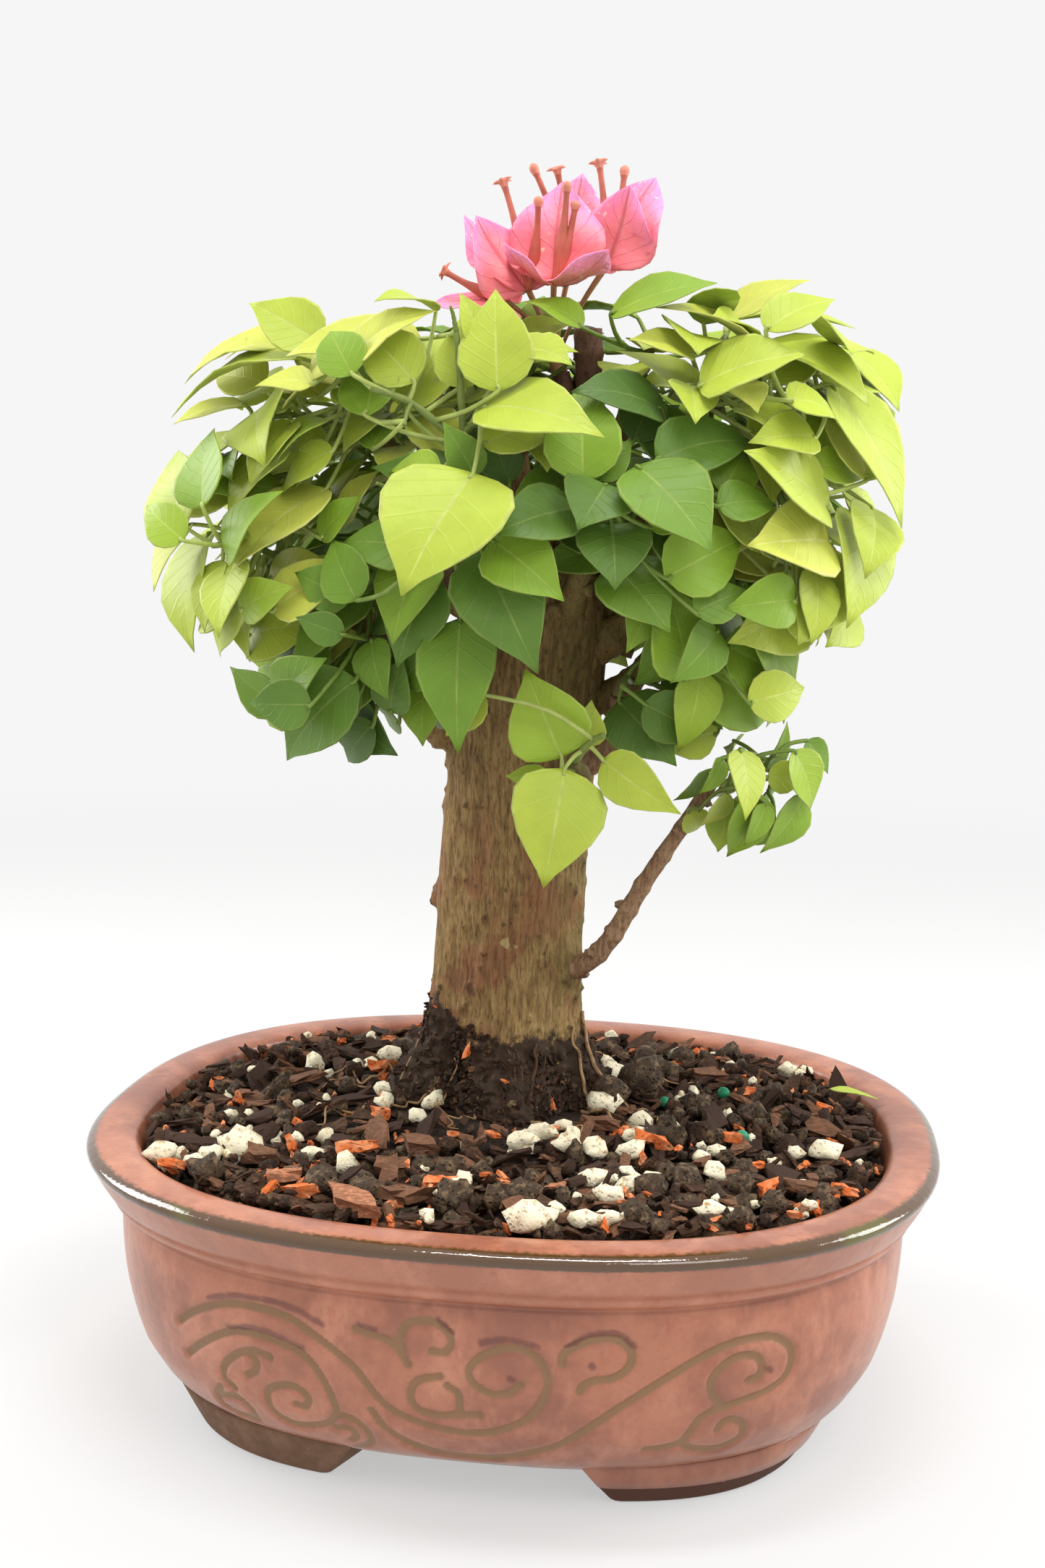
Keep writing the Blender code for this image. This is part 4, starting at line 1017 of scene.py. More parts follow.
def lay_grain(heaps, kind, shape, finish, spot, sizes, spins, tilt):
    """Adds one grain to its kind's heap, and raises the map where it lies."""
    heap, palette = heaps.setdefault(kind, (Heap(), []))
    if finish not in palette:
        palette.append(finish)
    level, x, y, part, cap = spot
    add_grain(heap, shape, sizes, spins, tilt, (x, y, level), palette.index(finish))
    heights[part] = np.where(cap > 0, np.maximum(heights[part], level + cap * HEAPING), heights[part])


def pour(heaps, rng):
    for kind, shapes, finishes, count, small, large, stretch, tilt, flatness in ROUNDS:
        for number in range(count):
            radius = small + (large - small) * rng.random() ** 1.5
            best = None
            for _ in range(PLACES_TRIED):
                turn, out = rng.uniform(0, math.tau), math.sqrt(rng.random())
                margin = SOIL_INSET + radius * 0.85
                half = (LIP_HALF_LENGTH - margin, LIP_HALF_WIDTH - margin)
                x, y = oval(half[0] * out, half[1] * out, LIP_SQUARENESS, np.array(turn))
                level, part, cap = settle(float(x), float(y), radius, flatness)
                if best is None or level < best[0]:
                    best = (level, float(x), float(y), part, cap)
            spins = any_spin(rng)
            sizes = np.array([rng.uniform(stretch, 1.15), rng.uniform(0.8, 1.1), rng.uniform(0.75, 1.05)])
            finish = rng.choice(finishes)
            below = bed[int(best[1]) - MAP_X[0], int(best[2]) - MAP_Y[0]]
            most = max(RIM_LEVEL, below + MOUND_ROOM)
            if best[0] < NO_ROOM / 2 and best[0] + radius * 0.6 * flatness < most:
                shape = shapes[number % GRAIN_SHAPES]
                lay_grain(heaps, kind, shape, finish, best, sizes * radius, spins, tilt)


def lay_by_hand(heaps, rng):
    for name, places in LAID.items():
        kind, shapes, finish, stretch, flatness = LAID_KINDS[name]
        for number, (x, y, radius) in enumerate(places):
            level, part, cap = settle(x, y, radius * 0.7, flatness)
            level = min(level, RIM_LEVEL + radius * 0.25 if abs(y + 60) < 22 else level)
            if level < NO_ROOM / 2:
                spins = [rng.uniform(-0.8, 0.8), rng.uniform(-1, 1), rng.uniform(-0.3, 0.3)]
                spot = (level, x, y, part, cap)
                shape = shapes[number % GRAIN_SHAPES]
                lay_grain(heaps, kind, shape, finish, spot, np.array(stretch) * radius, spins, 0.35)


poured = {}
pour(poured, random.Random(SEED))
lay_by_hand(poured, random.Random(SEED + 8))
for kind, (heap, palette) in poured.items():
    finishes = [grit[name] for name in palette]
    make_piece("soil_" + kind, heap, finishes, faceted=kind in ("chips", "orange"))
ground = heights[heights < NO_ROOM]
print("heap from", round(float(ground.min()), 1), "to", round(float(ground.max()), 1), "mm")

# %% [markdown]
# ## Odds and ends on the soil
#
# Feed prills and a few fine roots make a pot look lived in. The roots are thin tubes that follow the
# map of heights away from the trunk.

# %% Roots and prills
PRILLS = ((49.1, 22.4, 1.7), (35.2, 8.8, 1.5), (54.6, -12.5, 1.7))
# Turn round the trunk in degrees, length, and radius
ROOTS = ((-150, 34, 0.5), (-128, 26, 0.4), (-95, 15, 0.35), (-60, 22, 0.45), (-38, 30, 0.5), (-20, 24, 0.4),
         (170, 30, 0.5), (15, 30, 0.45), (60, 26, 0.45), (110, 28, 0.5), (200, 24, 0.4))
ROOT_STEPS = 14
ROOT_TAN = (0.33, 0.20, 0.095)
ROOT_BROWN = (0.16, 0.085, 0.04)
PRILL_GREEN = (0.012, 0.19, 0.085)
PRILL_PALE = (0.03, 0.28, 0.14)

# %% Laying roots and prills


def height_at(x, y):
    i, j = int(round(x)) - MAP_X[0], int(round(y)) - MAP_Y[0]
    near = heights[max(i - 1, 0):i + 2, max(j - 1, 0):j + 2]
    return float(near[near < NO_ROOM].mean()) if (near < NO_ROOM).any() else None


def make_roots_on_soil(finish):
    rng = random.Random(SEED + 1)
    heap = Heap()
    for degrees, length, radius in ROOTS:
        turn = math.radians(degrees)
        points = []
        for step in range(ROOT_STEPS):
            out = TRUNK_FOOT_RADIUS - 2 + length * step / ROOT_STEPS
            turn += rng.uniform(-0.09, 0.09)
            x, y = TRUNK_FOOT[0] + out * math.cos(turn), TRUNK_FOOT[1] + out * math.sin(turn)
            level = height_at(x, y)
            if level is not None:
                points.append(Vector((x, y, level + rng.uniform(0.0, 0.8))))
        if len(points) > 3:
            points = curve_points(points, 3)
            add_drum(heap, tube_rings(points, taper(len(points), radius, radius * 0.4), 6))
    make_piece("fine_roots", heap, (finish,))


def make_prills(finish):
    heap = Heap()
    for number, (x, y, radius) in enumerate(PRILLS):
        points, faces, _ = lump(number, 0.06, 1.0)
        heap.add(points * radius + (x, y, height_at(x, y) + radius * 0.7), faces)
    make_piece("feed_prills", heap, (finish,))


root_finish = grit_finish("root_skin", ROOT_TAN, ROOT_BROWN, 1.2, 0.15, 0.7)
make_roots_on_soil(root_finish)
make_prills(grit_finish("prill_green", PRILL_GREEN, PRILL_PALE, 1.5, 0.1, 0.35))

# %% [markdown]
# ## The trunk
#
# The trunk is thick for its height, barely tapered, and cut off at the top, where new boughs sprang
# from the wound. Its bark has fine upright fibres, many small scattered bumps where old buds sat, and
# a few knots. We press them into a drum with a point about every half millimetre. Each point also keeps
# two numbers for the finish: how deep between fibres it is, and how much of a bump or knot it is.

# %% The trunk's mesh
TRUNK_LEVEL = 64.3
# Height, x, y, radius, and depth of the root lobes
TRUNK = (
    (0.0, -6.2, 17.0, 26.4, 0.13), (4.0, -6.2, 17.0, 24.6, 0.13), (10.0, -6.1, 16.9, 21.4, 0.10),
    (18.0, -5.9, 16.6, 19.2, 0.06), (30.0, -5.5, 16.2, 18.3, 0.035), (46.0, -4.6, 15.4, 18.0, 0.025),
    (66.0, -3.6, 14.2, 17.7, 0.02), (86.0, -1.8, 12.6, 17.8, 0.02), (104.0, 0.2, 11.2, 17.3, 0.02),
    (120.0, 1.8, 9.8, 16.6, 0.02), (127.0, 2.4, 9.2, 15.6, 0.02), (129.6, 2.6, 9.0, 13.4, 0.02),
)
ROOT_LOBES = 5
TRUNK_SIDES = 270
TRUNK_STEPS = 18
# A knot's place, its radius, and how far it stands out
KNOTS = (
    ((-22.5, 12, 113.7), 2.3, 2.6), ((-23.2, 13, 117.5), 1.5, 1.2), ((-22.0, 12, 137), 2.6, 1.3),
    ((-20.5, 12, 149), 3.4, 1.8), ((-0.5, -3.6, 113.8), 1.5, 0.8), ((9, -2, 128), 1.6, 0.6),
    ((-12, -1, 93), 2.2, 0.8), ((12, 8, 117), 1.5, 1.2), ((13.2, 11, 124), 1.2, 1.0),
    ((4, -4, 84), 2.0, 0.6), ((-10, -3, 150), 2.0, 0.8), ((15, 10, 140), 2.0, 1.2),
    ((5, 30, 120), 3.2, 1.4), ((-14, 29, 142), 3.0, 1.2),
    # The swelling that the low branch springs from
    ((13.8, 6.8, 97.5), 5.5, 2.8),
)
BUMPS = 330
# The least and most of a bump's height on the trunk, its radius, and how far it stands out
BUMP_HEIGHTS = (14, 124)
BUMP_SIZES = (0.45, 1.15)
BUMP_RISES = (0.25, 1.0)
# How close together the noise's waves are, across and up the trunk: the closer, the finer
LUMPS = (0.11, 0.11, 0.05)
FIBRES = (0.95, 0.95, 0.10)
CRUMBLE = (0.35, 0.35, 0.30)
# The trunk's common radius, by which a bump's way round it is measured
TRUNK_RADIUS = 17.8
# The foot is caked with soil up to the first height, and bare from the second
CAKED = (76, 92)

# %% Pressing the bark


def trunk_rows():
    """The height, middle, radius and lobe of each ring of the trunk, as five columns."""
    rows = []
    for low, high in ((0, 3), (2, 5)):
        rows.append([point[:] for point in curve_points([row[low:high] for row in TRUNK], TRUNK_STEPS)])
    rows = np.hstack(rows)
    # Columns: height, x, y, then y again, radius, lobe
    return rows[:, 0], rows[:, 1], rows[:, 2], rows[:, 4], rows[:, 5]


def layered_noise(points, scale, layers):
    """Noise from mathutils, in layers that each have half the size and half the strength."""
    values = np.zeros(len(points))
    for layer in range(layers):
        scaled = points * np.asarray(scale) * 2 ** layer
        values += np.array([noise.noise(Vector(point)) for point in scaled]) / 2 ** layer
    return values


def make_trunk(finish):
    rng = random.Random(SEED + 2)
    height, x, y, radius, lobe = trunk_rows()
    turn = math.tau * np.arange(TRUNK_SIDES) / TRUNK_SIDES
    swell = np.cos(ROOT_LOBES * turn + 0.6)[None, :] + 0.3 * np.cos(3 * turn + 2)[None, :]
    reach = radius[:, None] * (1 + lobe[:, None] * swell)
    z = np.minimum(height, TRUNK[-1][0])[:, None] + TRUNK_LEVEL + 0 * reach
    cos, sin = np.cos(turn)[None, :], np.sin(turn)[None, :]
    place = np.stack([x[:, None] + reach * cos, y[:, None] + reach * sin, z], axis=-1)
    flat = place.reshape(-1, 3)
    lumps = layered_noise(flat, LUMPS, 2).reshape(z.shape)
    fibres = layered_noise(flat, FIBRES, 2).reshape(z.shape)
    furrow = np.clip((0.15 - fibres) / 0.5, 0, 1)
    crumbly = layered_noise(flat, CRUMBLE, 3).reshape(z.shape)
    low = smooth_share(-z, -CAKED[1], -CAKED[0])
    push = 0.6 * lumps - 0.28 * furrow * (1 - low) + 1.3 * low * crumbly
    raised = np.zeros(z.shape)
    for _ in range(BUMPS):
        at, level = rng.uniform(0, math.tau), rng.uniform(*BUMP_HEIGHTS) + TRUNK_LEVEL
        size, rise = rng.uniform(*BUMP_SIZES), rng.uniform(*BUMP_RISES)
        around = (np.angle(np.exp(1j * (turn - at))) * TRUNK_RADIUS)[None, :]
        bump = np.exp(-(around ** 2 + ((z - level) / 0.8) ** 2) / size ** 2)
        push += rise * bump * (1 + 0.6 * crumbly)
        raised += bump
    for (kx, ky, kz), size, rise in KNOTS:
        away = np.sqrt((place[..., 0] - kx) ** 2 + (place[..., 1] - ky) ** 2 + (place[..., 2] - kz) ** 2)
        ring = np.exp(-(away / size) ** 2) - 0.55 * np.exp(-(away / (0.45 * size)) ** 2)
        push += rise * ring * (1 + 0.5 * crumbly)
        raised += 0.8 * np.exp(-(away / size) ** 2)
    fade = np.clip((TRUNK[-1][0] - height) / 3, 0.25, 1)[:, None]
    out = reach + push * fade
    rings = np.stack([x[:, None] + out * cos, y[:, None] + out * sin, z], axis=-1)
    rings[-1, :, 2] += 0.5 * fibres[-1]
    heap = Heap()
    add_drum(heap, rings)
    piece = make_piece("trunk_bark", heap, (finish,), ("trunk",))
    keep_numbers(piece, furrow=furrow, raised=np.clip(raised, 0, 1))


# %% [markdown]
# ## Bark
#
# Bark is never one brown. Here two browns run in hair-fine streaks, red patches come lower down, bumps
# are darker, the furrows between the fibres are darkened as painted shade, and the foot is covered by
# dark soil, which climbs it to a ragged edge. The right side has a green bloom of algae, as the shaded
# side of a real trunk does, and a little lichen grows on the front.

# %% The bark finish
BARK = (0.215, 0.125, 0.044)
BARK_LIGHT = (0.400, 0.280, 0.115)
BARK_RED = (0.240, 0.090, 0.045)
BARK_DARK = (0.058, 0.033, 0.016)
BARK_GREEN = (0.150, 0.130, 0.040)
LICHEN = (0.45, 0.36, 0.15)
SOIL_STAIN = (0.026, 0.015, 0.008)
SOIL_STAIN_PALE = (0.070, 0.036, 0.018)
STAIN_HEIGHT = 81.0
STAIN_RISE = 8.0
STAIN_RAGGED = 9.0
LICHEN_PLACES = ((-2.8, -3.2, 105.7), (-1.2, -3.2, 104.6), (0.4, -3.2, 106.2), (0.6, -3.4, 108.2))

# %% Making the bark finish


def bark_finish(name, stained):
    material, place = new_finish(name, 0.78, specular_ior_level=0.22)
    hair = place.scaled((1, 1, 0.17)).noise(0.62, 4, 0.7)
    streaks = place.scaled((1, 1, 0.35)).noise(2.6, 5, 0.7)
    colour = blend(hair.step(0.36, 0.64) * 0.70, BARK, BARK_LIGHT)
    colour = blend(streaks.step(0.44, 0.66) * 0.6, colour, BARK)
    red = place.noise(13, 4, 0.6).step(0.45, 0.58) * (1 - place.part(2).step(0.118, 0.150))
    colour = blend(red * 0.62, colour, BARK_RED)
    bloom = place.part(0).step(0.000, 0.014) * place.noise(9, 3).step(0.32, 0.55)
    colour = blend(bloom * 0.55, colour, BARK_GREEN)
    fine = place.scaled((1, 1, 0.45)).noise(0.9, 4, 0.7)
    colour = blend(fine.step(0.54, 0.72) * 0.55, colour, BARK_DARK)
    colour = blend((1 - hair.step(0.30, 0.46)) * 0.7, colour, BARK_DARK)
    if stained:
        furrow, raised = place.attribute("furrow"), place.attribute("raised")
        # Painted shade: the bark is darkened in the furrows between the fibres
        colour = blend(furrow.step(0.45, 1.0) * 0.35, colour, BARK_DARK)
        colour = blend(raised.step(0.20, 0.8) * fine.step(0.35, 0.55) * 0.75, colour, BARK_DARK)
        for spot in LICHEN_PLACES:
            away = place.node("ShaderNodeVectorMath", {"operation": "DISTANCE"},
                              {0: place, 1: Vector(spot) * MM}, "Value")
            ragged = away * (1 / MM) + (place.noise(1.4, 3) - 0.5) * 2.4
            colour = blend((1 - ragged.step(1.1, 1.6)) * 0.8, colour, LICHEN)
        left = 1 - place.part(0).step(-0.022, -0.010)
        ragged = (place.noise(6, 4, 0.7) - 0.5) * STAIN_RAGGED * 2
        edge = place.part(2) * (1 / MM) + ragged - left * STAIN_RISE
        stain = 1 - edge.step(STAIN_HEIGHT - 1, STAIN_HEIGHT + 1.5)
        soil = blend(place.noise(2.2, 4, 0.7).step(0.50, 0.70), SOIL_STAIN, SOIL_STAIN_PALE)
        colour = blend(stain * 0.97, colour, soil)
    paint(material, "Base Color", colour)
    emboss(material, hair * 0.5 + fine * 0.6, 0.30)
    return material


trunk_finish = bark_finish("bark_trunk", True)
bough_finish = bark_finish("bark_bough", False)
make_trunk(trunk_finish)

# %% [markdown]
# ## The root cone
#
# Dark soil cakes the flared foot, and a few thin roots run down over it. We walk each root down the
# trunk's own surface, and stick crumbs to it by casting rays from outside.

# %% The root cone
CRUMBS = 1500
CONE_TOP = 90.0
CONE_ROOTS = 12
CRUMB_LEVEL = 64.5
ROOT_END = 64.0
ROOT_DARK = (0.075, 0.040, 0.020)
ROOT_BLACK = (0.030, 0.017, 0.010)
# Thin roots that catch the light: turn round the trunk in degrees, top, and radius
LIGHT_ROOTS = (
    (-165, 84, 0.5), (-152, 78, 0.35), (-118, 76, 0.3), (-12, 86, 0.65), (-24, 83, 0.5), (95, 84, 0.5),
)
# The orange chip on the front: turn round the trunk in degrees, height, half sizes, and turns
CONE_CHIP = (-107, 79.0, np.array((1.5, 0.9, 1.4)) * 2.2, (1.4, 1.3, 0.2))
CRUMB_FINISHES = ("fines", "lava_brown", "chip_dark", "lava", "chip_red", "orange")
CRUMB_SHARES = (12, 5, 5, 2, 0.7, 0.25)

# %% Crumbs and roots on the cone


def cone_surface(tree, turn, level):
    """Where a ray from outside meets the trunk at a turn and height, and the way the bark faces there."""
    out = Vector((math.cos(turn), math.sin(turn), 0))
    start = Vector((*TRUNK_FOOT, level)) + out * 60
    return tree.ray_cast(start, -out)[:2]


def root_down(tree, rng, turn, level, radius):
    """A root's points from a height on the trunk down to the soil."""
    points = []
    while level > ROOT_END:
        spot, facing = cone_surface(tree, turn, level)
        if spot:
            points.append(spot + facing * radius * 0.7)
        turn += rng.uniform(-0.06, 0.06)
        level -= rng.uniform(1.6, 3.0)
    return points


def make_cone(tree):
    rng = random.Random(SEED + 3)
    crumbs, roots = Heap(), Heap()
    for number in range(CRUMBS):
        turn = rng.uniform(0, math.tau)
        top = CONE_TOP - 7 * (1 + math.cos(turn))
        level = CRUMB_LEVEL + (top - CRUMB_LEVEL) * rng.random() ** 1.3
        spot, _ = cone_surface(tree, turn, level)
        radius = rng.uniform(0.35, 1.5) * (1.35 - 0.8 * (level - CRUMB_LEVEL) / (top - CRUMB_LEVEL))
        spins = any_spin(rng)
        finish = rng.choices(range(len(CRUMB_FINISHES)), CRUMB_SHARES)[0]
        if spot:
            sizes = np.array((1.1, 1.1, 1.0)) * radius
            add_grain(crumbs, CLOD_SHAPES[number % GRAIN_SHAPES], sizes, spins, 1.0, spot, finish)
    degrees, level, sizes, spins = CONE_CHIP
    spot, facing = cone_surface(tree, math.radians(degrees), level)
    orange = CRUMB_FINISHES.index("orange")
    add_grain(crumbs, CHIP_SHAPES[2], sizes, spins, 1.0, spot + facing * 0.3, orange)
    make_piece("cone_crumbs", crumbs, [grit[name] for name in CRUMB_FINISHES], faceted=True)
    for number in range(CONE_ROOTS):
        turn, level, radius = rng.uniform(0, math.tau), rng.uniform(74, 86), rng.uniform(0.3, 0.7)
        points = curve_points(root_down(tree, rng, turn, level, radius), 3)
        add_drum(roots, tube_rings(points, taper(len(points), radius * 0.5, radius), 7))
    for degrees, level, radius in LIGHT_ROOTS:
        points = curve_points(root_down(tree, rng, math.radians(degrees), level, radius + 0.8), 3)
        add_drum(roots, tube_rings(points, taper(len(points), radius * 0.6, radius), 7), 1)
    make_piece("cone_roots", roots, (dark_root, root_finish))


dark_root = grit_finish("root_dark", ROOT_DARK, ROOT_BLACK, 1.2, 0.2)
make_cone(trunk_tree)

# %% [markdown]
# ## The boughs
#
# Twenty boughs spring from the trunk or from each other. Each is a tube with a ring at every old leaf's
# place, and most of those on the trunk swell at the foot into a collar. Their routes are the frame's
# own, so leaves and solids meet.

# %% The boughs' routes
# Each bough: what it springs from, its route, and its radius at both ends
BOUGHS = {
    "left_bough": ("trunk", ((-12, 11, 150), (-24, 8, 160), (-33, 3, 175), (-54, -3, 192)), 5.8, 2.8),
    "left_low_bough": ("left_bough", ((-25, 7, 162), (-27, 1, 167), (-29, -5, 173)), 2.8, 1.9),
    "left_top_bough": ("trunk", ((-8, 12, 184), (-20, 9, 196), (-26, 6, 210), (-33, 4, 221)), 4.2, 2.4),
    "left_stub": ("trunk", ((-6, 2, 182), (-17, -6, 196), (-20, -11, 212), (-20.5, -13, 233)), 4.4, 2.9),
    "centre_bough": ("trunk", ((0, 2, 186), (-6, -9, 195), (-8, -20, 204), (-9, -25, 214)), 2.6, 1.7),
    "front_bough": ("trunk", ((1, 4, 180), (-1, -12, 184), (-2, -22, 194)), 3.0, 1.8),
    "front_right_bough": ("trunk", ((8, 2, 182), (13, -9, 190), (17, -17, 204)), 3.2, 2.0),
    "right_bough": ("trunk", ((9, 9, 186), (13, 6, 204), (12.5, 4, 221), (6.5, 4.5, 239)), 4.6, 2.3),
    "right_knob": ("right_bough", ((11.6, 4, 224), (13.4, 3, 237), (13.0, 2, 249)), 2.8, 3.3),
    "top_bough": ("right_bough", ((12.5, 5, 212), (20, 8, 226), (25, 9, 240)), 2.8, 1.8),
    "crown_bough": ("trunk", ((0, 12, 186), (-3, 16, 208), (-6, 15, 232)), 3.4, 2.0),
    "right_top_bough": ("trunk", ((10, 10, 182), (24, 10, 200), (33, 7, 216), (40, 4, 229)), 3.8, 2.1),
    "right_far_bough": ("trunk", ((11, 8, 172), (26, 6, 184), (40, 2, 198), (52, -1, 212)), 4.2, 2.2),
    "right_low_bough": ("trunk", ((11, 12, 160), (24, 9, 168), (32, 6, 178), (39, 2, 190)), 3.4, 2.0),
    "right_stub": ("trunk", ((9, 8, 147), (20, 5, 153), (22.5, 2, 165)), 3.6, 2.3),
    "back_left_bough": ("trunk", ((-6, 14, 172), (-20, 26, 186), (-30, 34, 204)), 4.2, 2.2),
    "back_bough": ("trunk", ((2, 16, 170), (3, 32, 184), (2, 42, 202)), 4.2, 2.2),
    "back_right_bough": ("trunk", ((9, 14, 174), (24, 26, 188), (35, 32, 205)), 4.2, 2.2),
    "low_branch": ("trunk", ((5, 12, 95), (18, 6, 102), (30, 3, 122), (46, -1, 148)), 3.1, 1.8),
    "front_stub": ("trunk", ((6, 8, 136), (13.5, -4, 141), (16, -13, 147)), 2.6, 1.7),
}
BOUGH_SIDES = 16
BOUGH_STEP = 0.8
COLLAR = 0.20
# Where the first ring of an old leaf is, how far the next one is, how much it swells, and how long
FIRST_RING = (6, 10)
NEXT_RING = (5, 9)
RING_SWELL = 0.13
RING_LENGTH = 0.9
# A knob's radius as a share of its bough's
KNOB_SHARE = 0.48
# A bough whose solid is a little stouter than its bark
SLIMMER = {"low_branch": 0.84}
# Which finish a bough has: 0 bark, 1 red young bark, 2 peeled wood, 3 dark knot
BOUGH_LOOKS = {
    "low_branch": 1, "front_stub": 1, "right_stub": 1, "left_stub": 2, "right_knob": 3, "right_bough": 3,
}

# %% Modelling the boughs


def dense(points, spacing):
    """The points along a smooth route, at about an even spacing."""
    fine = curve_points(points, 16)
    lengths = np.concatenate([[0], np.cumsum([(b - a).length for a, b in zip(fine, fine[1:])])])
    count = max(4, int(lengths[-1] / spacing))
    fine = np.array(fine)
    at = np.linspace(0, lengths[-1], count)
    return [Vector(point) for point in np.stack([np.interp(at, lengths, fine[:, k]) for k in range(3)], -1)]


def make_boughs(finishes):
    rng = random.Random(SEED + 4)
    heap = Heap()
    knobs = []
    for name, (parent, route, first, last) in BOUGHS.items():
        points = dense(route, BOUGH_STEP)
        along = np.arange(len(points)) * BOUGH_STEP
        radii = np.array(taper(len(points), first, last))
        radii *= SLIMMER.get(name, 1.0)
        collar = COLLAR * (parent == "trunk") * (name not in SLIMMER)
        radii *= 1 + collar * np.exp(-((along - first * 2.6) / 4.0) ** 2)
        node = rng.uniform(*FIRST_RING)
        while node < along[-1] - 2:
            radii += RING_SWELL * radii * np.exp(-((along - node) / RING_LENGTH) ** 2)
            k = min(int(node / BOUGH_STEP), len(points) - 2)
            turn = rng.uniform(0, math.tau)
            knobs.append((points[k], points[k + 1] - points[k], float(radii[k]), turn, name))
            node += rng.uniform(*NEXT_RING)
        rings = np.array(tube_rings(points, radii, BOUGH_SIDES))
        centres = np.array(points)[:, None, :]
        rough = layered_noise(rings.reshape(-1, 3), (0.5, 0.5, 0.25), 2).reshape(rings.shape[:2])
        rings = centres + (rings - centres) * (1 + 0.10 * rough[..., None])
        add_drum(heap, rings, BOUGH_LOOKS.get(name, 0))
    for number, (place, along, radius, turn, name) in enumerate(knobs):
        side = along.orthogonal().normalized()
        side = Matrix.Rotation(turn, 3, along) @ side
        points, faces, _ = LAVA_SHAPES[number % GRAIN_SHAPES]
        size = KNOB_SHARE * radius
        points = points * size + np.array(place + side * (radius + 0.25 * size))
        heap.add(points, faces, [BOUGH_LOOKS.get(name, 0)] * len(faces))
    make_piece("boughs_bark", heap, finishes, tuple(BOUGHS))


# Three colours of each wood: two in streaks, and one in small spots
YOUNG_BARK = ((0.20, 0.105, 0.055), (0.34, 0.215, 0.120), (0.09, 0.045, 0.027))
PEELED_WOOD = ((0.40, 0.27, 0.15), (0.27, 0.16, 0.08), (0.12, 0.065, 0.035))
KNOT_BARK = ((0.085, 0.040, 0.026), (0.15, 0.075, 0.045), (0.035, 0.018, 0.013))


def wood_finish(name, colours, size, stretch, depth):
    """Plain wood or young bark: two colours in streaks, with spots of a third."""
    material, place = new_finish(name, 0.75, specular_ior_level=0.25)
    streaks = place.scaled((1, 1, stretch)).noise(size, 4, 0.65)
    colour = blend(streaks.step(0.35, 0.60), colours[0], colours[1])
    spots = place.noise(size * 0.5, 4, 0.7).step(0.55, 0.70)
    paint(material, "Base Color", blend(spots, colour, colours[2]))
    emboss(material, streaks, depth)
    return material


red_bark = wood_finish("bark_young", YOUNG_BARK, 1.0, 0.25, 0.4)
peeled_wood = wood_finish("peeled_wood", PEELED_WOOD, 1.6, 0.2, 0.3)
knot_bark = wood_finish("knot_bark", KNOT_BARK, 1.8, 0.5, 0.4)
make_boughs((bough_finish, red_bark, peeled_wood, knot_bark))

# %% [markdown]
# ## How the crown grows
#
# The crown follows the frame's own rule, so that every leaf is where its solid is. A mass has a stem
# that goes on from its bough, shoots that fork from the stem, and leaves spread by the golden angle
# over the side that faces out. A leaf is tried on the nodes of the shoots in turn, and stays where it
# crosses nothing. Then a second pass fills the room that is left with finer shoots and more leaves.

# %% The masses of leaves
GAP = 0.3
GOLDEN_ANGLE = math.radians(137.5)
# Each mass: its bough, the centre and half sizes of its space, its shoots, its leaves, their
# length, and tint (0 young, 1 mid, 2 old)
MASSES = {
    "centre_leaves": ("centre_bough", (-14, -30, 232), (32, 28, 26), 3, 20, 32, 0),
    "front_leaves": ("front_bough", (-10, -35, 197), (36, 28, 38), 3, 20, 34, 2),
    "front_right_leaves": ("front_right_bough", (26, -29, 208), (32, 30, 35), 3, 24, 31, 2),
    "front_cluster_leaves": ("front_stub", (9, -27, 157), (26, 20, 34), 2, 5, 29, 0),
    "left_top_leaves": ("left_top_bough", (-47, -2, 229), (38, 38, 28), 4, 27, 32, 0),
    "right_top_leaves": ("right_top_bough", (50, -2, 234), (36, 38, 28), 4, 27, 33, 0),
    "left_leaves": ("left_bough", (-58, -8, 202), (31, 40, 36), 3, 26, 34, 0),
    "right_leaves": ("right_far_bough", (60, -8, 206), (28, 40, 34), 3, 26, 34, 0),
    "left_low_leaves": ("left_low_bough", (-40, -12, 174), (30, 32, 28), 3, 22, 30, 2),
    "right_low_leaves": ("right_low_bough", (42, -4, 180), (28, 32, 28), 3, 20, 31, 1),
    "right_stub_leaves": ("right_stub", (30, -8, 168), (22, 24, 24), 2, 9, 26, 2),
    "top_leaves": ("top_bough", (27, 2, 249), (32, 32, 20), 3, 22, 30, 1),
    "crown_leaves": ("crown_bough", (-12, 16, 239), (36, 36, 22), 3, 22, 31, 1),
    "back_left_leaves": ("back_left_bough", (-42, 44, 208), (40, 38, 44), 4, 26, 34, 1),
    "back_leaves": ("back_bough", (2, 54, 206), (38, 30, 46), 4, 24, 34, 1),
    "back_right_leaves": ("back_right_bough", (44, 42, 206), (40, 38, 44), 4, 26, 34, 1),
    "low_branch_leaves": ("low_branch", (53, -4, 148), (20, 22, 20), 2, 8, 19, 1),
}

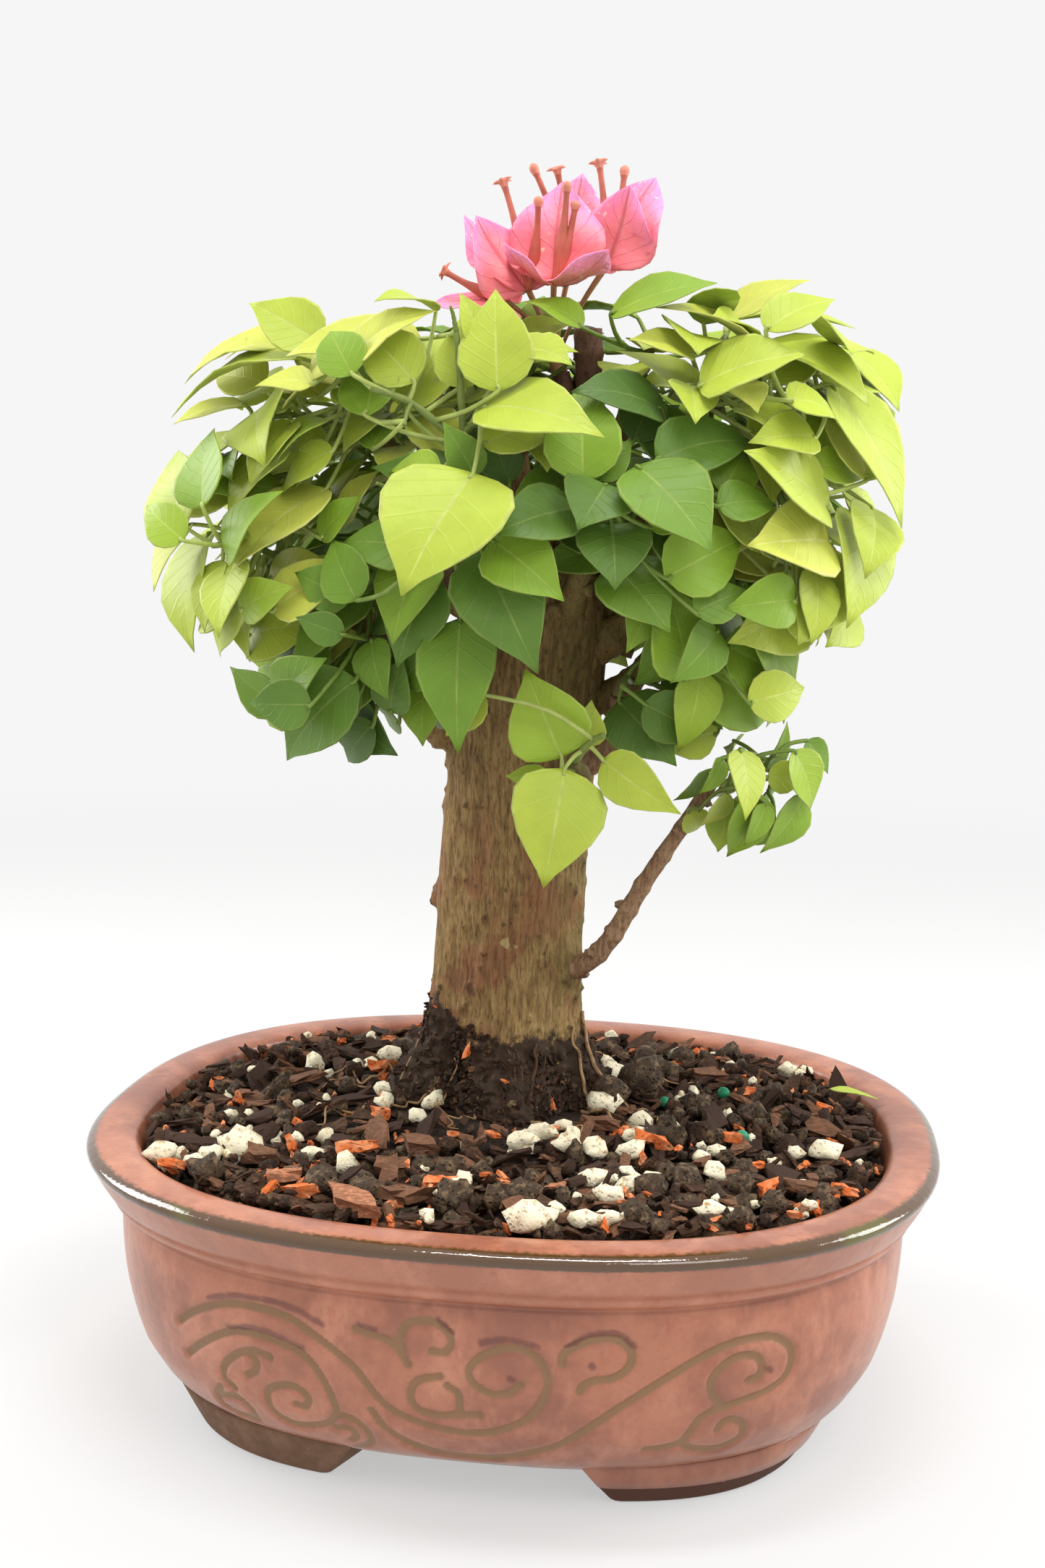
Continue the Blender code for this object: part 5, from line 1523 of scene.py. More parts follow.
# %% The leading leaves
# The leaves that give the crown its outline and its front: where each blade starts, where its
# tip is, and its width as a share of a common leaf's
LEADING_LEAVES = {
    "left_top_leaves": (
        ((-65, -8, 231), (-81, -12, 226), 1.0),
        ((-34, -26, 236), (-46, -36, 217), 1.5),
        ((-43, -18, 212), (-61, -30, 193), 1.1),
        ((-67, -6, 225), (-85, -12, 203), 0.8),
        ((-54, -14, 221), (-64, -24, 204), 1.2),
    ),
    "left_leaves": (((-65, -8, 193), (-62, -14, 172), 1.0),),
    "left_low_leaves": (
        ((-31, -12, 176), (-45, -16, 153), 0.9),
        ((-20, -16, 171), (-20, -18, 154), 1.2),
    ),
    "front_leaves": (
        ((-5, -34, 199), (9, -42, 173), 1.0),
        ((-10, -30, 184), (-8, -37, 155), 0.9),
        ((-2, -38, 201), (15, -44, 189), 1.1),
        ((-19, -28, 198), (-23, -36, 178), 1.1),
        ((-34, -16, 190), (-50, -24, 170), 1.0),
    ),
    "centre_leaves": (
        ((-6, -38, 215), (-17, -54, 189), 1.35),
        ((-10, -28, 233), (-11, -26, 248), 1.2),
        ((-6, -32, 229), (23, -46, 223), 0.8),
        ((-22, -16, 245), (-52, -20, 241), 0.9),
    ),
    "front_right_leaves": (
        ((16, -36, 208), (-1, -46, 202), 1.1),
        ((22, -36, 213), (18, -46, 203), 1.6),
        ((23, -34, 205), (25, -42, 191), 1.5),
        ((23, -28, 196), (36, -34, 182), 1.3),
        ((28, -34, 217), (45, -44, 199), 1.1),
    ),
    "right_top_leaves": (
        ((40, -26, 234), (62, -30, 240), 1.2),
        ((39, -20, 241), (25, -26, 244), 1.1),
        ((68, -10, 236), (85, -14, 205), 0.8),
    ),
    "right_low_leaves": (
        ((52, -8, 193), (60, -12, 161), 0.8),
        ((33, -16, 183), (47, -20, 174), 1.2),
        ((34, -4, 172), (47, -7, 159), 1.1),
    ),
    "right_stub_leaves": (((23, -8, 165), (37, -14, 151), 1.2),),
    "front_cluster_leaves": (
        ((12, -22, 153), (4, -24, 173), 1.3),
        ((16, -17, 155), (18, -19, 166), 1.2),
        ((13, -24, 151), (9, -30, 125), 1.2),
        ((21, -22, 153), (39, -28, 142), 0.8),
        ((9, -21, 149), (-1, -20, 148), 1.0),
    ),
}
LEADING_BEND = math.radians(38)
# The space before the trunk's top that stays open, and the plane that only leading leaves cross
OPEN_FRONT = ((1, 26), (-70, 2), (110, 192))
FRONT_LIMIT = -37.0
LIGHT = Vector((0, -0.4, 0.4))
CROWN_CENTRE = Vector((0, 10, 188))
CROWN_SIZE = Vector((87, 76, 76))
print("masses:", len(MASSES), "leading leaves:", sum(len(leaves) for leaves in LEADING_LEAVES.values()))

# %% Whether a shape is clear of its neighbours


class Pieces:
    """The pieces already in place, for testing whether a new one is clear of them."""

    def __init__(self):
        self.lows = np.zeros((0, 3))
        self.highs = np.zeros((0, 3))
        self.trees = []

    def add(self, points, faces):
        points = np.asarray(points, dtype=float)
        self.lows = np.vstack([self.lows, points.min(axis=0)])
        self.highs = np.vstack([self.highs, points.max(axis=0)])
        self.trees.append(BVHTree.FromPolygons(points.tolist(), faces))

    def extend(self, other):
        self.lows = np.vstack([self.lows, other.lows])
        self.highs = np.vstack([self.highs, other.highs])
        self.trees += other.trees

    def clear_of(self, points, faces, tree=None):
        """Whether the shape crosses none of the pieces."""
        points = np.asarray(points, dtype=float)
        low, high = points.min(axis=0), points.max(axis=0)
        near = np.all(self.lows <= high, axis=1) & np.all(self.highs >= low, axis=1)
        if not near.any():
            return True
        tree = tree or BVHTree.FromPolygons(points.tolist(), faces)
        return not any(tree.overlap(self.trees[k]) for k in np.flatnonzero(near))


# %% Plain bodies


def body_of(rings, tip=None):
    """The points and faces of a closed skin through rings of points, for the tests alone."""
    points = [point for ring in rings for point in ring] + ([tip] if tip is not None else [])
    sides = len(rings[0])
    faces = []
    for row in range(len(rings) - 1):
        for i in range(sides):
            j = (i + 1) % sides
            faces.append((row * sides + i, row * sides + j, (row + 1) * sides + j, (row + 1) * sides + i))
    faces.append(tuple(range(sides)))
    last = (len(rings) - 1) * sides
    if tip is None:
        faces.append(tuple(range(last, last + sides)))
    else:
        faces += [(last + i, last + (i + 1) % sides, len(points) - 1) for i in range(sides)]
    return points, faces


def crosses_itself(points, faces):
    tree = BVHTree.FromPolygons(points, faces)
    return any(not set(faces[i]) & set(faces[j]) for i, j in tree.overlap(tree))


# %% [markdown]
# ## The plain body of a leaf
#
# The tests use a leaf of a few faces: a stalk, two stations along the blade and a tip, with the same
# measures as the frame's solids. The leaf that we see is drawn over it later, from the same shape.

# %% A leaf's plain body
# Stations along a leaf with its half width there, as shares of its length
LEAF_STATIONS = ((0.26, 0.31), (0.64, 0.21))
LEAF_THICK = 0.034
STALK_RADIUS = 0.55
STALK_ROOT = 0.3
CLEARANCE = 0.35
# The least and most of a leaf's length and width, as shares of the common ones, and its bend in degrees
LENGTHS = (0.84, 1.1)
WIDTHS = (0.94, 1.08)
BENDS = (30, 65)
# What a leaf's heading is mixed of: down, out of the crown, away from the stem, and at random
DOWNWARD, OUTWARD, AWAY, DRIFT = 0.55, 0.35, 0.6, 0.25
# What each further attempt changes: the turn in radians, and the length as a share
SWING, SHORTER = 0.3, 0.03


def crown_outward(point):
    """The direction that faces out of the crown at a point."""
    away = point - CROWN_CENTRE
    return Vector([away[k] / CROWN_SIZE[k] ** 2 for k in range(3)]).normalized()


def blade_spine(base, heading, face, length, bend, t):
    """A point along a blade that arches towards its underside, and the blade's upward there."""
    angle = bend * t
    point = base + length / bend * (math.sin(angle) * heading + (math.cos(angle) - 1) * face)
    return point, math.cos(angle) * face + math.sin(angle) * heading


def leaf_body(node, base, heading, face, length, width, bend, grow=0.0):
    """A leaf's plain body, grown all round by a clearance. Without a node it has no stalk."""
    side = heading.cross(face).normalized()

    def three(point, across, upward, half_width, depth):
        keel = point - upward * (depth - grow * 0.5)
        return [point - across * half_width, point + across * half_width, keel]

    stalk = STALK_RADIUS + grow
    rings = [three(base, side, face, stalk * 0.8, stalk)]
    if node is not None:
        along = (base - node).normalized()
        across = (side - along * side.dot(along)).normalized()
        rings.insert(0, three(node, across, across.cross(along), STALK_ROOT, STALK_ROOT))
    for t, share in LEAF_STATIONS:
        point, upward = blade_spine(base, heading, face, length, bend, t)
        half_width = share * length * width + grow
        rings.append(three(point + upward * grow, side, upward, half_width, LEAF_THICK * length + 2 * grow))
    return body_of(rings, blade_spine(base, heading, face, length, bend, 1)[0])


# %% The shape of a leaf


def arched_shape(foot, tip, width, face, bend):
    """The shape of a blade whose two ends are given: an arch between them."""
    chord = tip - foot
    across = chord.normalized()
    face = (face - across * face.dot(across)).normalized()
    half_bend = bend / 2
    heading = across * math.cos(half_bend) + face * math.sin(half_bend)
    face = face * math.cos(half_bend) - across * math.sin(half_bend)
    return foot, heading, face, chord.length * half_bend / math.sin(half_bend), width, bend


def leading_shape(foot, tip, width):
    """The shape of a leading leaf, that faces out of the crown."""
    foot, tip = Vector(foot), Vector(tip)
    return arched_shape(foot, tip, width, crown_outward((foot + tip) / 2) + LIGHT, LEADING_BEND)


def leaf_measures(foot, hub, length, rng):
    """The measures of one leaf, all drawn before any is tried."""
    return {
        "foot": foot,
        "away": (foot - hub).normalized(),
        "length": length * rng.uniform(*LENGTHS),
        "bend": math.radians(rng.uniform(*BENDS)),
        "width": rng.uniform(*WIDTHS),
        "drift": Vector([rng.uniform(-1, 1) for _ in range(3)]),
    }


def fit_leaf(leaf, attempt):
    """The leaf's shape at one attempt: each turns it further to either side, and shortens it."""
    outward = crown_outward(leaf["foot"])
    down = -UP + outward * outward.z
    heading = down * DOWNWARD + outward * OUTWARD + leaf["away"] * AWAY + leaf["drift"] * DRIFT
    face = (outward + LIGHT + leaf["drift"] * DRIFT).normalized()
    swing = SWING * attempt * (-1) ** attempt
    heading = Matrix.Rotation(swing, 3, face) @ heading
    heading = (heading - face * face.dot(heading) * 0.5).normalized()
    face = (face - heading * face.dot(heading)).normalized()
    length = leaf["length"] * (1 - SHORTER * attempt)
    return leaf["foot"] - heading * length * 0.1, heading, face, length, leaf["width"], leaf["bend"]


print("a common leaf's length:", MASSES["left_leaves"][5], "mm")

# %% [markdown]
# ## Stems, shoots and the places of leaves
#
# The stem goes on from the bough's tip towards the middle of its mass, and the shoots fan out from
# its upper half. A node is a place on a shoot from which a stalk can reach a blade from behind.

# %% Growing
SHOOT_FOOT = 1.2
SHOOT_END = 0.8
STEM_END = 1.6
# A stem's radius as a share of its bough's
STEM_SHARE = 0.85
LEAF_TRIES = 10
LEAF_LAYERS = (0.68, 0.42, 0.56)
LEAF_COVER = 1.45
STALK_SHORTEST = 2.0
STALK_ALONG = 0.12
NODES_PER_STRETCH = 5
NODE_SPACING = 2.2
NODE_CROWDING = 9.0
NODE_TRIES = 8
# The second pass: finer shoots and more leaves in each mass, shorter, with less room round them
FINE_SHOOTS = 7
# A finer shoot's radius at its foot and end: the room it asks for, and its own
FINE_ROOM = (0.9, 0.6)
FINE_RADII = (0.8, 0.5)
FINE_SHORTEST = 5
FINE_LAYERS = (0.80, 0.50, 0.66, 0.30)
FINE_COVER = 1.75
FINE_LENGTH = 0.65
FINE_CLEARANCE = 0.12
FINE_TRIES = 9
# How many more leaves a mass is offered, for each of its own
FINE_SHARE = 2.7
SPARSE = {"front_cluster_leaves": 0.35, "right_stub_leaves": 0.6, "low_branch_leaves": 0.9}

# %% Room and places


def inside_space(points, centre, half_sizes):
    """Whether a body is in its mass's egg-shaped space, and leaves the front to others."""
    points = np.asarray(points, dtype=float)
    away = (points - np.array(centre)) / np.array(half_sizes)
    if (away ** 2).sum(axis=1).max() > 1 or points[:, 1].min() < FRONT_LIMIT:
        return False
    (x0, x1), (y0, y1), (z0, z1) = OPEN_FRONT
    x, y, z = points.T
    return not ((x > x0) & (x < x1) & (y > y0) & (y < y1) & (z > z0) & (z < z1)).any()


def spread(centre, half_sizes, count, layers, cover):
    """Points spread by the golden angle over the side of an egg-shaped space that faces out."""
    outward = crown_outward(centre)
    across = outward.orthogonal().normalized()
    other = outward.cross(across)
    points = []
    for i in range(count):
        height = 1 - (i + 0.5) / count * cover
        radius = math.sqrt(max(0.0, 1 - height * height))
        turn = GOLDEN_ANGLE * i
        point = outward * height + (across * math.cos(turn) + other * math.sin(turn)) * radius
        layer = layers[i % len(layers)]
        points.append(centre + Vector([point[k] * half_sizes[k] for k in range(3)]) * layer)
    return points


def nodes_behind(shoots, shape, used):
    """The nodes from which a stalk can reach a blade from behind, the nearest first."""
    base, heading = shape[:2]
    nodes = []
    for shoot in shoots:
        for first, second in zip(shoot[1:], shoot[2:]):
            for step in range(NODES_PER_STRETCH):
                node = first.lerp(second, (step + 0.5) / NODES_PER_STRETCH)
                stalk = base - node
                if STALK_SHORTEST < stalk.length < stalk.dot(heading) / STALK_ALONG:
                    crowding = sum(NODE_CROWDING for other in used if (other - node).length < NODE_SPACING)
                    nodes.append((stalk.length + crowding, node))
    return [node for _, node in sorted(nodes, key=lambda item: item[0])][:NODE_TRIES]


# %% Stems and shoots


def bough_end(bough):
    """A point just clear of a bough's tip, the direction the bough ends in, and its radius."""
    _, route, _, radius = BOUGHS[bough]
    points = curve_points(route, 2)
    out = (points[-1] - points[-2]).normalized()
    return points[-1] + out * GAP, out, radius


def tube_body(points, first, last):
    return body_of(tube_rings(points, taper(len(points), first, last), 3))


def arched_twig(start, end, share, rise, steps):
    """A twig's points, with a middle, at a share of the way, that rises over the straight line."""
    middle = start.lerp(end, share) + UP * rise * (end - start).length
    return curve_points((start, middle, end), steps)


def grow_shoots(stem, centre, half_sizes, count, others):
    """The shoots that branch from a stem, each shortened until it is clear of its neighbours."""
    shoots = []
    for number, end in enumerate(spread(centre, half_sizes, count, (0.5,), 1.2)):
        start = stem[1].lerp(stem[2], 0.3 + 0.7 * (number + 1) / count)
        for reach in (1.0, 0.75, 0.5):
            points = arched_twig(start, start.lerp(end, reach), 0.55, 0.10, 2)
            if others.clear_of(*tube_body(points, SHOOT_FOOT + CLEARANCE, SHOOT_END + CLEARANCE)):
                shoots.append(points)
                break
    return shoots


def grow_fine_shoots(shoots, centre, half_sizes, others, leaves):
    """Finer shoots, each from the nearest point of a shoot, where there is room for them."""
    fine = []
    nodes = [point for shoot in shoots for point in shoot[1:]]
    for end in spread(centre, half_sizes, FINE_SHOOTS, (0.70, 0.45), 1.7):
        start = min(nodes, key=lambda node: (node - end).length)
        for reach in (1.0, 0.7, 0.45):
            shoot_end = start.lerp(end, reach)
            if (shoot_end - start).length < FINE_SHORTEST:
                break
            points = arched_twig(start, shoot_end, 0.5, 0.12, 3)
            body = tube_body(points, *FINE_ROOM)
            clear = others.clear_of(*body) and leaves.clear_of(*body)
            if clear and inside_space(body[0], centre, half_sizes):
                fine.append(points)
                break
    return fine


# %% [markdown]
# ## One mass after another
#
# A mass first keeps the room of every leading leaf, its own and its neighbours'. It grows its shoots,
# its leading leaves and the leaves of the rule, and last the finer ones. What has grown stands in the
# way of the next mass, so the order of the masses matters.

# %% A mass of leaves


def place_leaf(node, shape, others, leaves, twigs, space, clearance):
    """Whether a leaf fits at its node. Where it does, it is remembered among the leaves."""
    blade = leaf_body(None, *shape, grow=clearance)
    if space is not None and not inside_space(blade[0], *space):
        return False
    whole = leaf_body(node, *shape, grow=clearance)
    tree = BVHTree.FromPolygons(*whole)
    fits = others.clear_of(*whole, tree) and leaves.clear_of(*whole, tree) and twigs.clear_of(*blade)
    fits = fits and not crosses_itself(*leaf_body(node, *shape))
    if fits:
        leaves.add(*whole)
    return fits


def grow_mass(name, order, others):
    """One mass: its stem, its shoots, its fine shoots and its leaves, each with its node and shape."""
    bough, centre, half_sizes, shoot_count, leaf_count, leaf_length, tint = MASSES[name]
    rng = random.Random(SEED * 100 + order)
    centre, half_sizes = Vector(centre), Vector(half_sizes)
    reserved, own = Pieces(), Pieces()
    for other_name, leading in LEADING_LEAVES.items():
        for leaf in leading:
            blade = leaf_body(None, *leading_shape(*leaf), grow=CLEARANCE)
            (own if other_name == name else reserved).add(*blade)
    reserved.extend(others)
    own.extend(reserved)
    foot, out, radius = bough_end(bough)
    stem = [foot, foot + out * 2.5, foot + out * 3 + (centre - foot) * 0.3]
    leaves, twigs = Pieces(), Pieces()
    shoots = grow_shoots(stem, centre, half_sizes, shoot_count, own)
    for points in shoots:
        twigs.add(*tube_body(points, SHOOT_FOOT, SHOOT_END))
    branches = [stem, *shoots]
    space = (centre, half_sizes)
    tries = [(others, None, [leading_shape(*leaf)], CLEARANCE) for leaf in LEADING_LEAVES.get(name, ())]
    for foot in spread(centre, half_sizes, leaf_count, LEAF_LAYERS, LEAF_COVER):
        leaf = leaf_measures(foot, stem[2], leaf_length, rng)
        shapes = [fit_leaf(leaf, attempt) for attempt in range(LEAF_TRIES)]
        tries.append((reserved, space, shapes, CLEARANCE))
    fitted = []

    def try_all(tries):
        for neighbours, space, shapes, clearance in tries:
            used = [node for node, _ in fitted]
            places = ((node, shape) for shape in shapes for node in nodes_behind(branches, shape, used))
            for node, shape in places:
                if place_leaf(node, shape, neighbours, leaves, twigs, space, clearance):
                    fitted.append((node, shape))
                    break

    try_all(tries)
    first_count = len(fitted)
    others.add(*body_of(tube_rings(stem, taper(3, radius * STEM_SHARE, STEM_END), 6)))
    fine = grow_fine_shoots(shoots or [stem], centre, half_sizes, reserved, leaves)
    for points in fine:
        twigs.add(*tube_body(points, *FINE_RADII))
    branches += fine
    tries = []
    extra = int(leaf_count * FINE_SHARE * SPARSE.get(name, 1.0))
    for foot in spread(centre, half_sizes, extra, FINE_LAYERS, FINE_COVER):
        leaf = leaf_measures(foot, stem[2], leaf_length * rng.uniform(0.8, 1.2) * FINE_LENGTH, rng)
        shapes = [fit_leaf(leaf, attempt) for attempt in range(FINE_TRIES)]
        tries.append((reserved, space, shapes, FINE_CLEARANCE))
    try_all(tries)
    others.extend(twigs)
    others.extend(leaves)
    print(f"{name}: {first_count} leaves of the rule and {len(fitted) - first_count} finer ones")
    return {
        "name": name,
        "tint": tint,
        "stem": stem,
        "radius": radius * STEM_SHARE,
        "shoots": shoots,
        "fine": fine,
        "leaves": fitted,
    }


limbs = Pieces()
for node in ("pot", "soil", "blossom", "trunk", *BOUGHS):
    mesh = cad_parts[node].data
    points = [vert.co[:] for vert in mesh.vertices]
    limbs.add(np.array(points) / MM, [tuple(face.vertices) for face in mesh.polygons])
masses = [grow_mass(name, order, limbs) for order, name in enumerate(MASSES)]
print("leaves:", sum(len(mass["leaves"]) for mass in masses))

# %% [markdown]
# ## The leaf that we see
#
# A bougainvillea leaf is egg-shaped with a drawn-out tip, folded a little along its midrib, with a
# thin pale edge. One flat grid is given thickness with solidify, and its back is simplified by
# dissolving the lines that nobody sees. The strips of the grid are the margin, the blade and the rib,
# so each has a plain colour of its own, and every leaf bends the same grid in its own way.

# %% The leaf's grid
LEAF_ACROSS = np.array((-1.0, -0.93, -0.03, 0.03, 0.93, 1.0))
LEAF_ALONG = np.array((0.0, 0.05, 0.13, 0.26, 0.42, 0.58, 0.73, 0.87, 1.0))
# How far along a leaf, and its half width there as a share of its length
LEAF_OUTLINE = (
    (0.0, 0.04, 0.09, 0.15, 0.23, 0.32, 0.42, 0.53, 0.64, 0.74, 0.83, 0.91, 0.96, 1.0),
    (0.022, 0.140, 0.225, 0.290, 0.330, 0.338, 0.325, 0.288, 0.230, 0.160, 0.092, 0.042, 0.018, 0.003),
)
BLADE, MARGIN, RIB, BACK = range(4)


def blade_sheet(across, along):
    """A thin closed sheet: each point's place across, along and through it, its faces and their kinds."""
    strips, rows = len(across) - 1, len(along) - 1
    bm = bmesh.new()
    bmesh.ops.create_grid(bm, x_segments=strips, y_segments=rows, size=0.5)
    bmesh.ops.solidify(bm, geom=bm.faces[:], thickness=1)
    kept = {0, strips // 2, strips}
    hidden = []
    for edge in bm.edges:
        (ax, _, az), (bx, _, bz) = edge.verts[0].co, edge.verts[1].co
        column = round((ax + 0.5) * strips)
        if abs(ax - bx) < 1e-4 and az < -0.5 and bz < -0.5 and column not in kept:
            hidden.append(edge)
    bmesh.ops.dissolve_edges(bm, edges=hidden, use_verts=False)
    for face in bm.faces:
        middle = face.calc_center_median()
        column = int((middle.x + 0.5) * strips)
        if middle.z < -0.4:
            face.material_index = BACK if middle.z < -0.9 else MARGIN
        elif column in (0, strips - 1):
            face.material_index = MARGIN
        else:
            face.material_index = RIB if column == strips // 2 else BLADE
    points, faces, kinds = arrays_of(bm)
    columns = np.round((points[:, 0] + 0.5) * strips).astype(int)
    rows_at = np.round((points[:, 1] + 0.5) * rows).astype(int)
    return across[columns], along[rows_at], points[:, 2] < -0.5, faces, kinds


leaf_sheet = blade_sheet(LEAF_ACROSS, LEAF_ALONG)
print("faces of a leaf:", len(leaf_sheet[3]), "points:", len(leaf_sheet[0]))

# %% Bending the grid


def lay_blade(sheet, outline, shape, rng, fold, wave, thick):
    """The points of a blade: the sheet bent along its arch, folded at the rib, and waved."""
    across, along, back = sheet[:3]
    base, heading, face, length, width, bend = shape
    side = np.array(heading.cross(face).normalized())
    heading, face, base = np.array(heading), np.array(face), np.array(base)
    half = np.interp(along, *outline) * length * width
    angle = (bend * along)[:, None]
    spine = base + length / bend * (np.sin(angle) * heading + (np.cos(angle) - 1) * face)
    upward = np.cos(angle) * face + np.sin(angle) * heading
    left, right = rng.uniform(0.7, 1.3), rng.uniform(0.7, 1.3)
    folds = fold * np.where(across < 0, left, right)
    waves = wave * np.sin(along * rng.uniform(5, 9) + rng.uniform(0, 6) + across * 1.3) * np.abs(across)
    twist = rng.uniform(-0.12, 0.12) * along * across
    lift = half * (folds * np.abs(across) + waves + twist) - 0.35 * LEAF_THICK * length
    sway = rng.uniform(-0.05, 0.05) * length * along ** 2
    lift = lift - thick * back * np.clip(half / 2, 0.25, 1)
    squeeze = 1 - 0.5 * folds ** 2
    return spine + side * (across * half * squeeze + sway)[:, None] + upward * lift[:, None]


def add_blade(heap, sheet, outline, shape, rng, looks, first_slot=0):
    """Adds a blade to a heap, with its places across and along as its UV map."""
    points = lay_blade(sheet, outline, shape, rng, *looks)
    faces, kinds = sheet[3:]
    loops = [i for face in faces for i in face]
    uvs = np.stack(sheet[:2], axis=-1)[loops]
    heap.add(points, faces, [first_slot + kind for kind in kinds], uvs)


# %% [markdown]
# ## Leaf colours
#
# The young leaves at the top and the outside are lime, the older ones below and inside are a deep
# green. The lime is brighter than a real leaf: part of it is painted light, for the light that shines
# through the young leaves. Colours that have a place are dealt out leaf by leaf as plain base colours.
# Over them lie only a faint mottle, faint side veins drawn on the leaf's own UV map, and a soft satin
# gloss.

# %% Leaf finishes
GREENS = {
    # The lemon and lime are partly painted light: brighter than a real leaf, for the light shining through
    # young leaves
    "lemon": ((0.53, 0.57, 0.085), (0.68, 0.68, 0.24)),
    "lime": ((0.42, 0.51, 0.055), (0.56, 0.61, 0.17)),
    "fresh": ((0.30, 0.43, 0.036), (0.45, 0.54, 0.12)),
    "mid": ((0.21, 0.345, 0.026), (0.36, 0.46, 0.09)),
    "grass": ((0.150, 0.270, 0.024), (0.29, 0.38, 0.08)),
    "deep": ((0.105, 0.200, 0.024), (0.23, 0.31, 0.07)),
    "dark": ((0.075, 0.150, 0.022), (0.18, 0.25, 0.06)),
}
# What each tint is dealt: the names of greens and how often each comes
DEALS = (
    (("lemon", 3), ("lime", 6), ("fresh", 2), ("mid", 1)),
    (("fresh", 2), ("mid", 4), ("grass", 3), ("lime", 1)),
    (("grass", 4), ("deep", 4), ("dark", 2), ("mid", 3)),
)
# The greens of the young leading leaves, in their own order, because they catch the eye
LEADING_GREENS = {
    "front_cluster_leaves": ("fresh", "lime", "lime", "lime", "fresh"),
    "centre_leaves": ("lime", "lime", "lime", "lemon"),
    "left_top_leaves": ("lemon", "lemon", "lime", "lime", "lemon"),
    "right_top_leaves": ("lime", "lemon", "lime"),
}
VEINS = 7.0
VEIN_SLANT = 1.7

# %% Making the leaf finishes


def blade_places(place):
    """Two wires of a blade's UV map: how far from the rib, and how far along."""
    uv = place.node("ShaderNodeTexCoord", {}, {}, "UV")
    return uv.maths("ABSOLUTE", uv.part(0), 0.0), uv.part(1)


def leaf_finish(name, colour, pale):
    material, place = new_finish("leaf_" + name, 0.45, specular_ior_level=0.3)
    across, along = blade_places(place)
    ladder = along * VEINS - across * VEIN_SLANT
    vein = ladder.maths("PINGPONG", ladder, 0.5).step(0.40, 0.50)
    mottle = place.noise(7, 3).step(0.3, 0.7)
    tone = blend(mottle * 0.30, colour, tuple(0.72 * value for value in colour))
    paint(material, "Base Color", blend(vein * 0.08, tone, pale))
    emboss(material, vein * 0.5 + place.noise(2.2, 2), 0.10)
    return material


def plain_finish(name, colour, roughness, **constants):
    material, place = new_finish(name, roughness, specular_ior_level=0.25, **constants)
    tone = place.noise(3.5, 3).step(0.35, 0.65)
    paint(material, "Base Color", blend(tone, colour, tuple(0.82 * value for value in colour)))
    return material


greens = {}
for name, (colour, pale) in GREENS.items():
    back = tuple(0.55 * value + 0.30 * light + 0.02 for value, light in zip(colour, pale))
    greens[name] = (
        leaf_finish(name, colour, pale),
        plain_finish("edge_" + name, tuple(0.5 * (a + b) for a, b in zip(colour, pale)), 0.45),
        plain_finish("rib_" + name, tuple(0.35 * a + 0.65 * b for a, b in zip(colour, pale)), 0.5),
        plain_finish("back_" + name, back, 0.6),
    )
print("greens:", len(greens))

# %% [markdown]
# ## Leaves, stalks and twigs
#
# All the leaves of one tint become one piece, and so do all the twigs. A stalk runs from its node and
# bends into the leaf's base, thickest where it leaves the twig.

# %% Dressing the masses
# A leaf's fold at the rib, its waves, and its thickness in millimetres
LEAF_LOOKS = (0.16, 0.07, 0.32)
# How much slimmer the shoots look than their tests took them, and a finer shoot's radii
SHOOT_SLIM = 0.78
FINE_LOOKS = (0.8, 0.45)
STALK_SIDES = 6
STALK_ENDS = (0.62, 0.42)
TINT_NAMES = ("young", "mid", "old")
TWIG_BARK = ((0.17, 0.125, 0.050), (0.22, 0.18, 0.075), (0.09, 0.06, 0.03))
TWIG_GREEN = (0.20, 0.26, 0.06)
STALK_PALE = (0.42, 0.50, 0.13)
STALK_GREEN = (0.19, 0.28, 0.05)
TWIG_FINISHES = (
    wood_finish("twig_bark", TWIG_BARK, 1.6, 0.4, 0.12),
    plain_finish("twig_green", TWIG_GREEN, 0.5),
    plain_finish("stalk_pale", STALK_PALE, 0.5),
    plain_finish("stalk_green", STALK_GREEN, 0.5),
)

# %% Twigs, stalks and leaves


def add_twigs(heap, mass):
    """Adds a mass's stem, its shoots and its finer shoots."""
    kinds = (
        ([mass["stem"]], (mass["radius"], STEM_END), 0, 10),
        (mass["shoots"], (SHOOT_FOOT * SHOOT_SLIM, SHOOT_END * SHOOT_SLIM), 1, 7),
        (mass["fine"], (FINE_LOOKS[0] * SHOOT_SLIM, FINE_LOOKS[1] * SHOOT_SLIM), 1, 6),
    )
    for routes, ends, finish, sides in kinds:
        for route in routes:
            points = curve_points(route, 3)
            radii = taper(len(points), *ends)
            radii = [radius * (1 + 0.12 * math.sin(k * 1.9)) for k, radius in enumerate(radii)]
            add_drum(heap, tube_rings(points, radii, sides), finish)


def add_stalk(heap, node, shape, finish):
    """Adds a leaf's stalk, from its node to just past the foot of its blade."""
    base, heading, face, length, _, bend = shape
    end = blade_spine(base, heading, face, length, bend, 0.06)[0] - face * 0.25
    middle = node.lerp(base, 0.5) - heading * 0.08 * (base - node).length + UP * 0.3
    stalk = curve_points((node, middle, base - face * 0.3, end), 3)
    add_drum(heap, tube_rings(stalk, taper(len(stalk), *STALK_ENDS), STALK_SIDES), finish)


